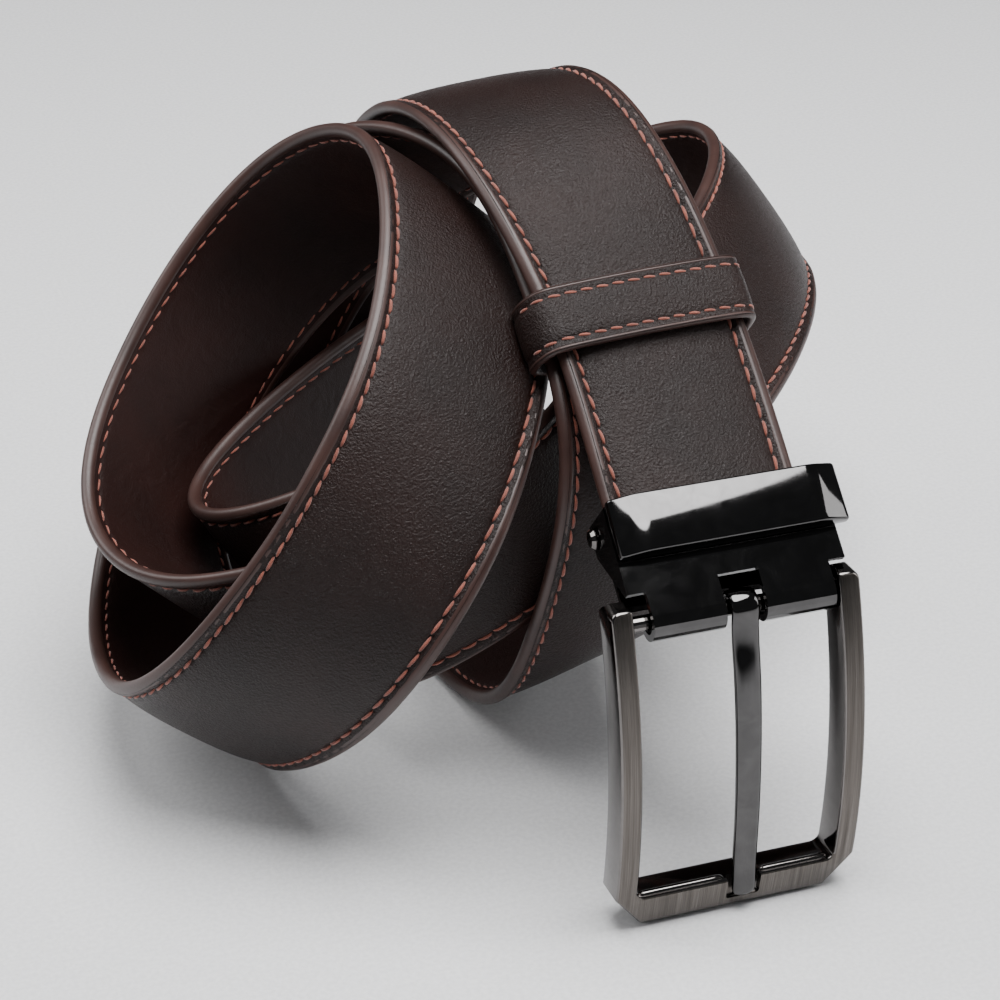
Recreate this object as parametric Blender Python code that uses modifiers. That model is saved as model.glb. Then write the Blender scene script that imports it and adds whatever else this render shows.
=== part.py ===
"""Leather dress belt, lying coiled, with a clamp buckle and a sliding keeper.

The strap is a ribbon that follows a free route, so its layers are lofts of one
section along that route. The buckle is drawn in the clamp's own axes: x across
the strap, y up the strap away from the buckle, z out of the face of the strap.
"""
import math

import bmesh
import bpy
import numpy as np
from mathutils import Matrix, Vector

MM = 0.001
COLLECTION_NAME = "leather_belt"
GAP = 0.3                       # clearance between touching pieces, in mm
WELD = 0.01                     # points closer than this, in mm, are one

# Route of the strap in mm from the drawing origin, from the clamp to the tip:
# centre line x, y, z, then the turn of the width about Z and its dip, in degrees.
DRAWING_ORIGIN = (-17.3, -49.8, -0.1)
STRAP_ROUTE = [
    (34, -2, 72, 0, 1), (33, 24, 93, 0, 1), (28, 53, 111, 0, -7), (24, 92, 105, 7, 1),
    (19, 115, 75, 15, 19), (15, 112, 41, 17, 9), (17, 89, 13, 14, -6), (22, 50, 8, 19, -15),
    (26, 15, 33, 4, -4), (31, 11, 69, 6, 11), (32, 34, 93, 6, 4), (28, 64, 100, 20, 19),
    (12, 97, 90, 9, 34), (-9, 106, 64, 1, 39), (-28, 94, 35, -16, 36), (-44, 67, 14, -9, 33),
    (-48, 31, 17, -4, 39), (-36, 6, 41, -26, 34), (-16, 5, 69, -34, 38), (3, 28, 91, -4, 28),
    (9, 62, 100, -3, 41), (-4, 90, 86, 0, 52), (-30, 90, 58, 8, 47), (-46, 63, 38, 15, 36),
    (-36, 31, 35, 4, 54), (-10, 15, 46, 27, 80), (24, 21, 60, -25, 71), (53, 44, 68, -51, 45),
    (78, 73, 73, -19, 48), (86, 111, 68, -16, 63), (67, 126, 55, -36, 68), (33, 109, 44, -25, 66),
    (0, 91, 38, -34, 74), (-29, 60, 31, -21, 51), (-16, 34, 42, -45, 44), (18, 28, 70, 2, 71),
]

# Strap section, in mm: half widths and heights above the middle of the edge.
BEAD_OUTER = 17.5
BEAD_INNER = 16.2
BEAD_HALF_HEIGHT = 1.3
LEATHER_HALF_WIDTH = BEAD_INNER - GAP
GROOVE_AT = 14.5
GROOVE_HALF_WIDTH = 0.4
THREAD_BASE = 1.35
THREAD_TOP = 1.75
FACE_TOP = [(0.0, 2.2), (11.0, 1.7), (GROOVE_AT, 0.95), (LEATHER_HALF_WIDTH, 1.3)]
FACE_BOTTOM = [(LEATHER_HALF_WIDTH, 0.0), (12.5, 0.05), (8.0, 0.9), (0.0, 0.9)]
LINING_TOP = [(0.0, -0.3), (8.0, -0.3), (LEATHER_HALF_WIDTH, -0.3)]
LINING_BOTTOM = [(LEATHER_HALF_WIDTH, -1.2), (8.0, -1.3), (0.0, -1.3)]
FILLER_HALF = [(0.0, 0.55), (8.0, 0.55), (11.5, 0.0), (8.0, 0.0), (0.0, 0.0)]
BEAD_ROUNDING = (0.4, 0.9)      # its shoulder's inset, and its share of the height
CLAMPED_LENGTH = 9.0            # strap end inside the clamp
TIP_LENGTH = 18.0               # the strap narrows over this length
TIP_NARROWING = 9.0             # by this much on each side
FILLER_SHARE = 0.9              # the filler ends at this share of it
TIP_SHARES = (0.0, 0.3, 0.55, 0.75, FILLER_SHARE, 1.0)      # places of the tip's sections
TIP_MARGIN = 2.0                # the last section before the tip is at least this far from it
MAX_TIP_SHARE = 0.98            # the end is left this blunt
STITCH_END = 24.0               # the thread rows stop this far from the tip
HOLE_DIAMETER = 4.0
PUNCH_LENGTH = 8.0
HOLE_PITCH = 25.0
HOLE_COUNT = 5
FIRST_HOLE_FROM_TIP = 116.0
MAX_BEND = 0.22                 # radians of bend, twist and mm of length per loft segment
MAX_TWIST = 0.10
MAX_SEGMENT = 12.0
ROUTE_SAMPLES = 4000

# Keeper, in mm, drawn across the strap at the second point of the route. It holds
# two turns of the strap, and the lower one is tilted and sits a little to the left.
KEEPER_LENGTH = 12.0
KEEPER_SHIFT = -2.5             # from the second point of the route, along the strap
KEEPER_TILT = -2.5              # degrees that its right end leans towards the buckle
KEEPER_ARCH = [(18.4, -9.0), (18.4, -1.0), (18.0, 1.4), (16.8, 2.3), (11.0, 2.8), (0.0, 3.1),
               (-11.0, 2.8), (-16.8, 2.3), (-18.3, 1.2), (-19.5, -1.5), (-19.6, -3.2)]
KEEPER_FLOOR = [(-20.0, -4.5), (-17.2, -6.1), (19.2, -10.4)]
LINING_THICKNESS = 0.5
FACE_THICKNESS = 0.8
LINING_INSET = 0.3              # the keeper's lining is this much narrower on each side
KEEPER_THREAD_INSET = 2.0
KEEPER_THREAD_ABOVE = 2.5       # the thread runs where the arch is higher than this
THREAD_RADIUS = 0.3
STAPLE_SIZE = (8.0, 1.2, 0.5)
STAPLE_AT = 7.0

# Clamp, in mm, in the clamp's axes.
HOUSING_CENTRE = 0.8
HOUSING_HALF_WIDTH = 19.6
EAR_THICKNESS = 1.0
PLATE_BACK = 2.7
PLATE_FRONT = 3.9
PLATE_TOP = -4.3
EAR_BOTTOM = -20.0
EAR_TAPER = -10.0
EAR_BACK = -5.6
EAR_STEP = 0.2                  # the ears stand this far out of, and behind, the plate's edges
CUTTER_REACH = 14.0
KNUCKLE_HALF_WIDTH = 16.4
KNUCKLE_OUTER = 3.3
KNUCKLE_INNER = 2.1
NOTCH_CENTRE = 1.0
NOTCH_HALF_WIDTH = 3.6
NOTCH_TOP = -19.2
COVER_CENTRE = 1.8
COVER_HALF_WIDTH = 20.6
COVER_SHOULDER = (4.6, 1.5)
COVER_TOP = -4.0
COVER_HEIGHT = 10.3
COVER_BACK = PLATE_FRONT + GAP
COVER_FRONT = 7.8
JAW_PIN = (-7.0, -3.9)          # y and z of the pins
JAW_PIN_RADIUS = 1.1
JAW_HALF_WIDTH = 18.3
JAW_EYE_RADIUS = 2.0
JAW_TAIL = -20.6
TOOTH_COUNT = 2
TOOTH_PITCH = 1.4
TOOTH_REACH = 2.2
TOOTH_ROOT = 1.3                # the teeth rise from this height above the pins to the reach
JAW_FRONT = 0.3                 # the flap's front and back faces, from the pins
JAW_BACK = -0.9
JAW_TAIL_EDGE = (1.0, -0.5)     # length of the tail's wedge and height of its edge
JAW_BACK_START = -2.4
FIRST_TOOTH = -0.5
PIN_HEAD_RADIUS = 1.9
PIN_DOME = [(0.0, 1.2), (0.75, 0.8), (1.0, 0.2), (1.0, 0.0)]   # shares of the radius, and heights in mm
PIN_LENGTH = 6.0

# Frame, prong and cross bar, in mm, hung from the bar.
BAR_CENTRE = (-24.2, 0.6)       # y and z of the cross bar
BAR_RADIUS = 1.4
FRAME_CENTRE = -0.6
FRAME_HALF_WIDTH = 22.2
ARM_WIDTH = 3.8
FRAME_LENGTH = 56.9
FRAME_DEPTH = 7.0
FRAME_BAR_HEIGHT = 6.0
FRAME_CHAMFER = (5.0, 6.5)
FRAME_ARCH = 4.0
FRAME_CORNER = 1.5              # smaller corners of the frame's outline are cut by this
ARM_RISE = 3.9
ARM_HEEL = 3.8                  # the back corner of each arm's top is cut this far from the bar
FRAME_SWING = 46.4              # degrees that the frame hangs back from the strap
BEND_STEP = 5.0
BORE_CLEARANCE = 0.35
BORE_DEPTH = 2.5
PRONG_CENTRE = 1.0
PRONG_EYE_RADIUS = 3.0
PRONG_THICKNESS = 2.2
PRONG_HALF_WIDTH = 2.5
PRONG_NARROWING = 0.4
PRONG_SPINE = [(-4.0, 2.0), (-9.0, 3.4), (-18.0, 4.6), (-29.0, 5.2), (-40.0, 5.0)]
PRONG_LANDING = (-47.5, 0.1)    # where it has come down to the seat, and its height over it
PRONG_TIP_AT = 2.2              # the tip stops this far above the frame's lower edge
SEAT_BOTTOM = 1.6
SEAT_HALF_WIDTH = 3.2
SEAT_FLOOR = 3.0

LEATHER = ("strap_leather", (0.045, 0.018, 0.014), 0.55, 0.0)
LINING = ("lining_leather", (0.050, 0.018, 0.014), 0.60, 0.0)
EDGE = ("edge_paint", (0.095, 0.045, 0.036), 0.45, 0.0)
BOARD = ("filler_board", (0.35, 0.27, 0.20), 0.80, 0.0)
THREAD = ("thread", (0.42, 0.12, 0.08), 0.75, 0.0)
BLACK_CHROME = ("black_chrome", (0.10, 0.10, 0.11), 0.08, 1.0)
GUNMETAL = ("gunmetal", (0.28, 0.26, 0.25), 0.28, 1.0)
STEEL = ("steel", (0.55, 0.55, 0.56), 0.25, 1.0)


# ---------------------------------------------------------------- scene tools
def new_collections():
    for old in list(bpy.data.objects):
        bpy.data.objects.remove(old, do_unlink=True)
    made = []
    for name in (COLLECTION_NAME, "cutters"):
        collection = bpy.data.collections.new(name)
        bpy.context.scene.collection.children.link(collection)
        made.append(collection)
    return made


def material(recipe):
    name, color, roughness, metallic = recipe
    found = bpy.data.materials.get(name)
    if found:
        return found
    made = bpy.data.materials.new(name)
    made.use_nodes = True
    shader = made.node_tree.nodes["Principled BSDF"]
    shader.inputs["Base Color"].default_value = (*color, 1.0)
    shader.inputs["Roughness"].default_value = roughness
    shader.inputs["Metallic"].default_value = metallic
    return made


def finish(name, mesh, recipe, matrix=Matrix.Identity(4), smooth_angle=40.0):
    """Object for a mesh in metres, in the belt's collection, with smooth shading."""
    mesh.materials.clear()
    mesh.materials.append(material(recipe))
    mesh.shade_smooth()
    mesh.set_sharp_from_angle(angle=math.radians(smooth_angle))
    made = bpy.data.objects.new(name, mesh)
    made.matrix_world = matrix
    PARTS.objects.link(made)
    return made


def cutter(name, mesh, matrix):
    made = bpy.data.objects.new(name, mesh)
    made.matrix_world = matrix
    made.hide_render = True
    made.display_type = "WIRE"
    CUTTERS.objects.link(made)
    return made


def boolean(target, tool, operation="DIFFERENCE"):
    modifier = target.modifiers.new(operation.lower(), "BOOLEAN")
    modifier.operation = operation
    modifier.object = tool
    modifier.solver = "EXACT"


def bevel(target, width, segments=2, angle=30.0):
    modifier = target.modifiers.new("bevel", "BEVEL")
    modifier.width = width * MM
    modifier.segments = segments
    modifier.limit_method = "ANGLE"
    modifier.angle_limit = math.radians(angle)


def box_mesh(name, size, centre):
    shape = bmesh.new()
    bmesh.ops.create_cube(shape, size=1.0)
    placed = Matrix.Translation(Vector(centre) * MM) @ Matrix.Diagonal((*(Vector(size) * MM), 1.0))
    bmesh.ops.transform(shape, matrix=placed, verts=shape.verts)
    return mesh_from(shape, name)


def rod_mesh(name, radius, length, segments=16, axis="X", centre=(0.0, 0.0, 0.0)):
    shape = bmesh.new()
    bmesh.ops.create_cone(shape, cap_ends=True, segments=segments, depth=length * MM,
                          radius1=radius * MM, radius2=radius * MM)
    turn = Matrix.Rotation(math.radians(90.0), 4, "Y") if axis == "X" else Matrix.Identity(4)
    bmesh.ops.transform(shape, matrix=Matrix.Translation(Vector(centre) * MM) @ turn, verts=shape.verts)
    return mesh_from(shape, name)


def mesh_from(shape, name):
    mesh = bpy.data.meshes.new(name)
    shape.to_mesh(mesh)
    shape.free()
    return mesh


def extruded_mesh(name, outlines, thickness, axes=None):
    """Solid of flat outlines in mm, extruded evenly to both sides and welded into one body.

    axes gives the three directions that the outline's x, its y and the extrusion take.
    """
    curve = bpy.data.curves.new(name, "CURVE")
    curve.dimensions = "2D"
    curve.fill_mode = "BOTH"
    curve.extrude = thickness * MM / 2
    for outline in outlines:
        spline = curve.splines.new("POLY")
        spline.points.add(len(outline) - 1)
        for point, (x, y) in zip(spline.points, outline):
            point.co = (x * MM, y * MM, 0.0, 1.0)
        spline.use_cyclic_u = True
    guide = bpy.data.objects.new(name, curve)
    PARTS.objects.link(guide)
    bpy.context.view_layer.update()
    evaluated = guide.evaluated_get(bpy.context.evaluated_depsgraph_get())
    mesh = bpy.data.meshes.new_from_object(evaluated)
    bpy.data.objects.remove(guide)
    shape = bmesh.new()
    shape.from_mesh(mesh)
    bmesh.ops.remove_doubles(shape, verts=shape.verts, dist=WELD * MM)
    if axes:
        turn = Matrix([Vector(axis) for axis in axes]).transposed().to_4x4()
        bmesh.ops.transform(shape, matrix=turn, verts=shape.verts)
    bmesh.ops.recalc_face_normals(shape, faces=shape.faces)
    shape.to_mesh(mesh)
    shape.free()
    mesh.name = name
    return mesh


def arc(centre, radius, start, end, steps):
    """Points on an arc in mm, angles in degrees."""
    angles = [math.radians(start + (end - start) * i / steps) for i in range(steps + 1)]
    return [(centre[0] + radius * math.cos(a), centre[1] + radius * math.sin(a)) for a in angles]


def circle(centre, radius, steps=16):
    return arc(centre, radius, 0.0, 360.0, steps)[:-1]


# ---------------------------------------------------------------- strap route
def natural_spline(knots, values):
    """The natural cubic spline through the values at the knots, as a function."""
    gaps = np.diff(knots)
    slopes = np.diff(values, axis=0) / gaps[:, None]
    system = np.eye(len(knots))
    target = np.zeros_like(values)
    for i in range(1, len(knots) - 1):
        system[i, i - 1:i + 2] = gaps[i - 1], 2.0 * (gaps[i - 1] + gaps[i]), gaps[i]
        target[i] = 6.0 * (slopes[i] - slopes[i - 1])
    bends = np.linalg.solve(system, target)

    def value_at(parameter):
        i = np.clip(np.searchsorted(knots, parameter, side="right") - 1, 0, len(knots) - 2)
        gap = gaps[i][:, None]
        near = (knots[i + 1] - parameter)[:, None] / gap
        far = 1.0 - near
        curved = (near ** 3 - near) * bends[i] + (far ** 3 - far) * bends[i + 1]
        return near * values[i] + far * values[i + 1] + curved * gap ** 2 / 6.0
    return value_at


def unit_rows(rows):
    return rows / np.linalg.norm(rows, axis=1)[:, None]


class Route:
    """Centre line of the strap in mm, with the three directions that ride along it."""

    def __init__(self, stations):
        table = np.array(stations, dtype=float)
        points = table[:, :3] + np.array(DRAWING_ORIGIN)
        turn, dip = np.radians(table[:, 3]), np.radians(table[:, 4])
        widths = np.stack([np.cos(dip) * np.cos(turn), np.cos(dip) * np.sin(turn), -np.sin(dip)], axis=1)
        chords = np.linalg.norm(np.diff(points, axis=0), axis=1)
        knots = np.concatenate([[0.0], np.cumsum(chords)])
        fine = np.linspace(0.0, knots[-1], ROUTE_SAMPLES)
        self.points = natural_spline(knots, points)(fine)
        self.along = unit_rows(np.gradient(self.points, axis=0))
        across = natural_spline(knots, widths)(fine)
        across -= np.sum(across * self.along, axis=1)[:, None] * self.along
        self.across = unit_rows(across)
        self.outward = np.cross(self.across, self.along)
        steps = np.linalg.norm(np.diff(self.points, axis=0), axis=1)
        self.lengths = np.concatenate([[0.0], np.cumsum(steps)])
        self.length = self.lengths[-1]

    def frame(self, s):
        """Point, across, along and outward at a length along the strap, straight before the start."""
        def read(rows):
            return np.array([np.interp(s, self.lengths, rows[:, i]) for i in range(3)])
        point, across, along = read(self.points), read(self.across), read(self.along)
        along /= np.linalg.norm(along)
        point += along * min(s, 0.0)
        across -= across.dot(along) * along
        across /= np.linalg.norm(across)
        return point, across, along, np.cross(across, along)

    def matrix(self, s):
        """Placement of a piece drawn in mm with x across, y along and z outward."""
        point, across, along, outward = self.frame(s)
        turn = Matrix([Vector(across), Vector(along), Vector(outward)]).transposed().to_4x4()
        return Matrix.Translation(Vector(point) * MM) @ turn

    def sections(self, end):
        """Lengths of the loft's sections: close together where the strap bends or twists."""
        step = np.gradient(self.lengths)
        bend = np.linalg.norm(np.gradient(self.along, axis=0), axis=1) / step
        twist = np.abs(np.sum(np.gradient(self.across, axis=0) * self.outward, axis=1)) / step
        need = np.maximum(np.maximum(bend / MAX_BEND, twist / MAX_TWIST), 1.0 / MAX_SEGMENT)
        total = np.concatenate([[0.0], np.cumsum(need[:-1] * np.diff(self.lengths))])
        count = int(math.ceil(total[-1]))
        places = np.interp(np.linspace(0.0, total[-1], count + 1), total, self.lengths)
        tip_start = self.length - TIP_LENGTH
        tip = [tip_start + TIP_LENGTH * share for share in TIP_SHARES]
        body = [s for s in places if 0.0 < s < tip_start - TIP_MARGIN]
        return [s for s in [-CLAMPED_LENGTH, 0.0] + body + tip if s < end - WELD] + [end]


def narrowing(s, length):
    """How far each edge has moved in at a length along the strap: a round end."""
    share = max(0.0, (s - (length - TIP_LENGTH)) / TIP_LENGTH)
    return TIP_NARROWING * (1.0 - math.sqrt(1.0 - min(share, MAX_TIP_SHARE) ** 2))


def loft(name, route, section, recipe, end=None):
    """Closed solid whose section, a function of the length along the strap, follows the route.

    Every layer splits its quads along the same diagonal, so that twisted layers stay apart.
    """
    shape = bmesh.new()
    rings = []
    for s in route.sections(end or route.length):
        point, across, _, outward = route.frame(s)
        ring = [shape.verts.new(Vector(point + across * u + outward * v) * MM) for u, v in section(s)]
        rings.append(ring)
    places = [u for u, _ in section(0.0)]
    for ring, following in zip(rings, rings[1:]):
        for i in range(len(ring)):
            j = (i + 1) % len(ring)
            if places[j] > places[i]:
                shape.faces.new((ring[i], ring[j], following[j]))
                shape.faces.new((ring[i], following[j], following[i]))
            else:
                shape.faces.new((ring[i], ring[j], following[i]))
                shape.faces.new((ring[j], following[j], following[i]))
    shape.faces.new(reversed(rings[0]))
    shape.faces.new(rings[-1])
    bmesh.ops.recalc_face_normals(shape, faces=shape.faces)
    bmesh.ops.triangulate(shape, faces=[face for face in shape.faces if len(face.verts) > 4])
    return finish(name, mesh_from(shape, name), recipe, smooth_angle=50.0)


# ---------------------------------------------------------------- strap layers
def squeezed(half_section, s, length):
    """A section that is the same on both sides, narrowed near the tip."""
    scale = 1.0 - narrowing(s, length) / LEATHER_HALF_WIDTH
    right = [(u * scale, v) for u, v in half_section]
    return right + [(-u, v) for u, v in reversed(right) if u > 0.0]


def strap_layers(route):
    length = route.length

    def face(s):
        return squeezed(FACE_TOP + FACE_BOTTOM, s, length)

    def lining(s):
        return squeezed(LINING_TOP + LINING_BOTTOM, s, length)

    def filler(s):
        return squeezed(FILLER_HALF, s, length)

    loft("strap_face", route, face, LEATHER)
    loft("strap_lining", route, lining, LINING)
    loft("strap_filler", route, filler, BOARD, length - (1.0 - FILLER_SHARE) * TIP_LENGTH)
    for side, name in ((-1.0, "left"), (1.0, "right")):
        def bead(s, side=side):
            inner = BEAD_INNER - narrowing(s, length)
            outer = BEAD_OUTER - narrowing(s, length)
            shoulder = outer - BEAD_ROUNDING[0]
            high = BEAD_HALF_HEIGHT
            lower = BEAD_ROUNDING[1] * high
            return [(side * u, v) for u, v in
                    [(inner, -high), (shoulder, -lower), (outer, 0.0), (shoulder, lower), (inner, high)]]

        def thread(s, side=side):
            return [(side * (GROOVE_AT - GROOVE_HALF_WIDTH), THREAD_BASE),
                    (side * (GROOVE_AT + GROOVE_HALF_WIDTH), THREAD_BASE), (side * GROOVE_AT, THREAD_TOP)]

        loft("edge_bead_" + name, route, bead, EDGE)
        loft("stitch_row_" + name, route, thread, THREAD, length - STITCH_END)
    punch_holes(route)


def punch_holes(route):
    for i in range(HOLE_COUNT):
        s = route.length - FIRST_HOLE_FROM_TIP - i * HOLE_PITCH
        punch = cutter("hole_punch_%d" % (i + 1),
                       rod_mesh("punch", HOLE_DIAMETER / 2, PUNCH_LENGTH, 12, axis="Z"), route.matrix(s))
        for name in ("strap_face", "strap_filler", "strap_lining"):
            boolean(bpy.data.objects[name], punch)


# ---------------------------------------------------------------- keeper
def grown(outline, distance, closed=True):
    """An outline that runs anticlockwise, in mm, moved outward by a distance."""
    moved = []
    last = len(outline) - 1
    for i, (x, y) in enumerate(outline):
        before = outline[i - 1] if closed or i > 0 else None
        after = outline[(i + 1) % len(outline)] if closed or i < last else None
        sides = []
        for start, end in ((before, (x, y)), ((x, y), after)):
            if start and end:
                edge = Vector(end) - Vector(start)
                sides.append(Vector((edge.y, -edge.x)).normalized())
        mitre = sides[0] + sides[-1]
        moved.append(tuple(Vector((x, y)) + mitre * distance / (1.0 + sides[0].dot(sides[-1]))))
    return moved


def keeper(route, s):
    """Leather loop: a face band all the way round and a lining under its arch and sides."""
    placed = route.matrix(s) @ Matrix.Rotation(math.radians(KEEPER_TILT), 4, "Z")
    axes = ((1, 0, 0), (0, 0, 1), (0, -1, 0))
    lining = KEEPER_ARCH + list(reversed(grown(KEEPER_ARCH, LINING_THICKNESS, False)))
    finish("keeper_lining", extruded_mesh("keeper_lining", [lining], KEEPER_LENGTH - 2 * LINING_INSET, axes),
           LINING, placed)
    arch_in = grown(KEEPER_ARCH, LINING_THICKNESS + GAP, False)
    face_in = arch_in + KEEPER_FLOOR
    finish("keeper_face", extruded_mesh("keeper_face", [grown(face_in, FACE_THICKNESS), face_in],
                                        KEEPER_LENGTH, axes), LEATHER, placed)
    rise = FACE_THICKNESS + GAP + THREAD_RADIUS
    over = [(x, z) for x, z in arch_in if z > KEEPER_THREAD_ABOVE]
    for name, side in (("keeper_stitch_upper", 1.0), ("keeper_stitch_lower", -1.0)):
        y = side * (KEEPER_LENGTH / 2 - KEEPER_THREAD_INSET)
        thread_rod(name, [(x, y, z + rise) for x, z in over], placed)
    (x, z), (end_x, end_z) = KEEPER_FLOOR[1:]
    slope = (end_z - z) / (end_x - x)
    under = z + slope * (STAPLE_AT - x) - FACE_THICKNESS - GAP - STAPLE_SIZE[2] / 2
    staple = box_mesh("keeper_staple", STAPLE_SIZE, (0.0, 0.0, 0.0))
    finish("keeper_staple", staple, STEEL,
           shifted(placed, STAPLE_AT, 0.0, under) @ Matrix.Rotation(-math.atan(slope), 4, "Y"))


def thread_rod(name, points, placed):
    curve = bpy.data.curves.new(name, "CURVE")
    curve.dimensions = "3D"
    curve.bevel_depth = THREAD_RADIUS * MM
    curve.bevel_resolution = 1
    curve.use_fill_caps = True
    spline = curve.splines.new("POLY")
    spline.points.add(len(points) - 1)
    for point, place in zip(spline.points, points):
        point.co = (*(Vector(place) * MM), 1.0)
    curve.materials.append(material(THREAD))
    made = bpy.data.objects.new(name, curve)
    made.matrix_world = placed
    PARTS.objects.link(made)


# ---------------------------------------------------------------- clamp
SIDE_AXES = ((0, 1, 0), (0, 0, 1), (1, 0, 0))      # outlines in y and z, extruded across


def shifted(matrix, x, y=0.0, z=0.0):
    return matrix @ Matrix.Translation(Vector((x, y, z)) * MM)


def clamp_body(clamp):
    """Folded housing: a front plate rolled round the bar, two ears and a notch for the prong."""
    placed = shifted(clamp, HOUSING_CENTRE)
    outer = arc(BAR_CENTRE, KNUCKLE_OUTER, 90.0, 300.0, 12)
    inner = arc(BAR_CENTRE, KNUCKLE_INNER, 300.0, 90.0, 12)
    plate = [(PLATE_TOP, PLATE_FRONT)] + outer + inner + [(PLATE_TOP, PLATE_BACK)]
    half = HOUSING_HALF_WIDTH - EAR_STEP
    body = finish("clamp_body", extruded_mesh("clamp_body", [plate], 2 * half, SIDE_AXES),
                  BLACK_CHROME, placed)
    ear = [(PLATE_TOP - EAR_STEP, PLATE_FRONT - EAR_STEP), (PLATE_TOP - EAR_STEP, EAR_BACK),
           (EAR_TAPER, EAR_BACK), (EAR_BOTTOM, PLATE_BACK - EAR_STEP), (EAR_BOTTOM, PLATE_FRONT - EAR_STEP)]
    pin_hole = circle(JAW_PIN, JAW_PIN_RADIUS + GAP, 12)
    waste = half - KNUCKLE_HALF_WIDTH + EAR_STEP
    for side in (-1.0, 1.0):
        shape = extruded_mesh("ear", [ear, pin_hole], EAR_THICKNESS, SIDE_AXES)
        place = shifted(placed, side * (HOUSING_HALF_WIDTH - EAR_THICKNESS / 2))
        boolean(body, cutter("ear_%d" % side, shape, place), "UNION")
        corner = box_mesh("corner", (waste, CUTTER_REACH, 2 * CUTTER_REACH),
                          (side * (KNUCKLE_HALF_WIDTH + waste / 2), EAR_BOTTOM - CUTTER_REACH / 2, 0.0))
        boolean(body, cutter("corner_%d" % side, corner, placed))
    notch = box_mesh("notch", (2 * NOTCH_HALF_WIDTH, CUTTER_REACH, 2 * CUTTER_REACH),
                     (NOTCH_CENTRE - HOUSING_CENTRE, NOTCH_TOP - CUTTER_REACH / 2, 0.0))
    boolean(body, cutter("prong_notch", notch, placed))


def clamp_cover(clamp):
    h, (slope, drop) = COVER_HALF_WIDTH, COVER_SHOULDER
    outline = [(-h, COVER_BACK), (h, COVER_BACK), (h, COVER_FRONT - drop), (h - slope, COVER_FRONT),
               (slope - h, COVER_FRONT), (-h, COVER_FRONT - drop)]
    mesh = extruded_mesh("clamp_cover", [outline], COVER_HEIGHT, ((1, 0, 0), (0, 0, 1), (0, -1, 0)))
    cover = finish("clamp_cover", mesh, BLACK_CHROME,
                   shifted(clamp, COVER_CENTRE, COVER_TOP - COVER_HEIGHT / 2))
    bevel(cover, 0.5)


def clamp_jaw(clamp):
    """Back flap: an eye round the pins, teeth below it that bite the strap, and a long tail."""
    y, z = JAW_PIN
    outline = arc(JAW_PIN, JAW_EYE_RADIUS, -100.0, 90.0, 8)
    for i in range(TOOTH_COUNT):
        base = y + FIRST_TOOTH - i * TOOTH_PITCH
        outline += [(base, z + TOOTH_ROOT), (base - TOOTH_PITCH / 2, z + TOOTH_REACH)]
    root = y + FIRST_TOOTH - TOOTH_COUNT * TOOTH_PITCH
    wedge, edge = JAW_TAIL_EDGE
    outline += [(root, z + JAW_FRONT), (JAW_TAIL + wedge, z + JAW_FRONT), (JAW_TAIL, z + edge),
                (JAW_TAIL + wedge, z + JAW_BACK), (y + JAW_BACK_START, z + JAW_BACK)]
    mesh = extruded_mesh("clamp_jaw", [outline, circle(JAW_PIN, JAW_PIN_RADIUS + GAP, 12)],
                         2 * JAW_HALF_WIDTH, SIDE_AXES)
    finish("clamp_jaw", mesh, BLACK_CHROME, shifted(clamp, HOUSING_CENTRE))


def jaw_pins(clamp):
    """Two turned pins with domed heads, one through each ear into the flap's eye."""
    radius = JAW_PIN_RADIUS
    start = HOUSING_HALF_WIDTH + GAP
    profile = [(PIN_HEAD_RADIUS * share, z) for share, z in PIN_DOME]
    profile += [(radius, 0.0), (radius, -PIN_LENGTH), (0.0, -PIN_LENGTH)]
    for name, side in (("jaw_pin_left", -1.0), ("jaw_pin_right", 1.0)):
        shape = bmesh.new()
        verts = [shape.verts.new((x * MM, 0.0, z * MM)) for x, z in profile]
        for a, b in zip(verts, verts[1:]):
            shape.edges.new((a, b))
        turn = Matrix.Rotation(math.radians(90.0 * side), 4, "Y")
        place = shifted(clamp, HOUSING_CENTRE + side * start, *JAW_PIN) @ turn
        pin = finish(name, mesh_from(shape, name), BLACK_CHROME, place)
        screw = pin.modifiers.new("turned", "SCREW")
        screw.steps = screw.render_steps = 12
        screw.use_merge_vertices = True
        screw.merge_threshold = WELD * MM
        screw.use_smooth_shade = True


# ---------------------------------------------------------------- frame and prong
def swung(clamp, x):
    """Axes on the cross bar: x across, y back up the frame to the bar, z out of its face."""
    y, z = BAR_CENTRE
    return shifted(clamp, x, y, z) @ Matrix.Rotation(math.radians(FRAME_SWING), 4, "X")


def arch(y):
    """How far the frame bows forward at y, which runs from 0 at the bar to minus its length."""
    half = FRAME_LENGTH / 2
    return FRAME_ARCH * (1.0 - ((y + half) / half) ** 2)


def bowed(mesh):
    """Cut a flat mesh every few mm of its length and bow it forward."""
    shape = bmesh.new()
    shape.from_mesh(mesh)
    cuts = int(FRAME_LENGTH / BEND_STEP)
    for i in range(cuts + 1):
        geometry = shape.verts[:] + shape.edges[:] + shape.faces[:]
        bmesh.ops.bisect_plane(shape, geom=geometry, dist=0.001 * MM, plane_co=(0.0, -i * BEND_STEP * MM, 0.0),
                               plane_no=(0.0, 1.0, 0.0))
    for vert in shape.verts:
        vert.co.z += arch(vert.co.y / MM) * MM
    bmesh.ops.triangulate(shape, faces=shape.faces)
    shape.to_mesh(mesh)
    shape.free()
    return mesh


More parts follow.
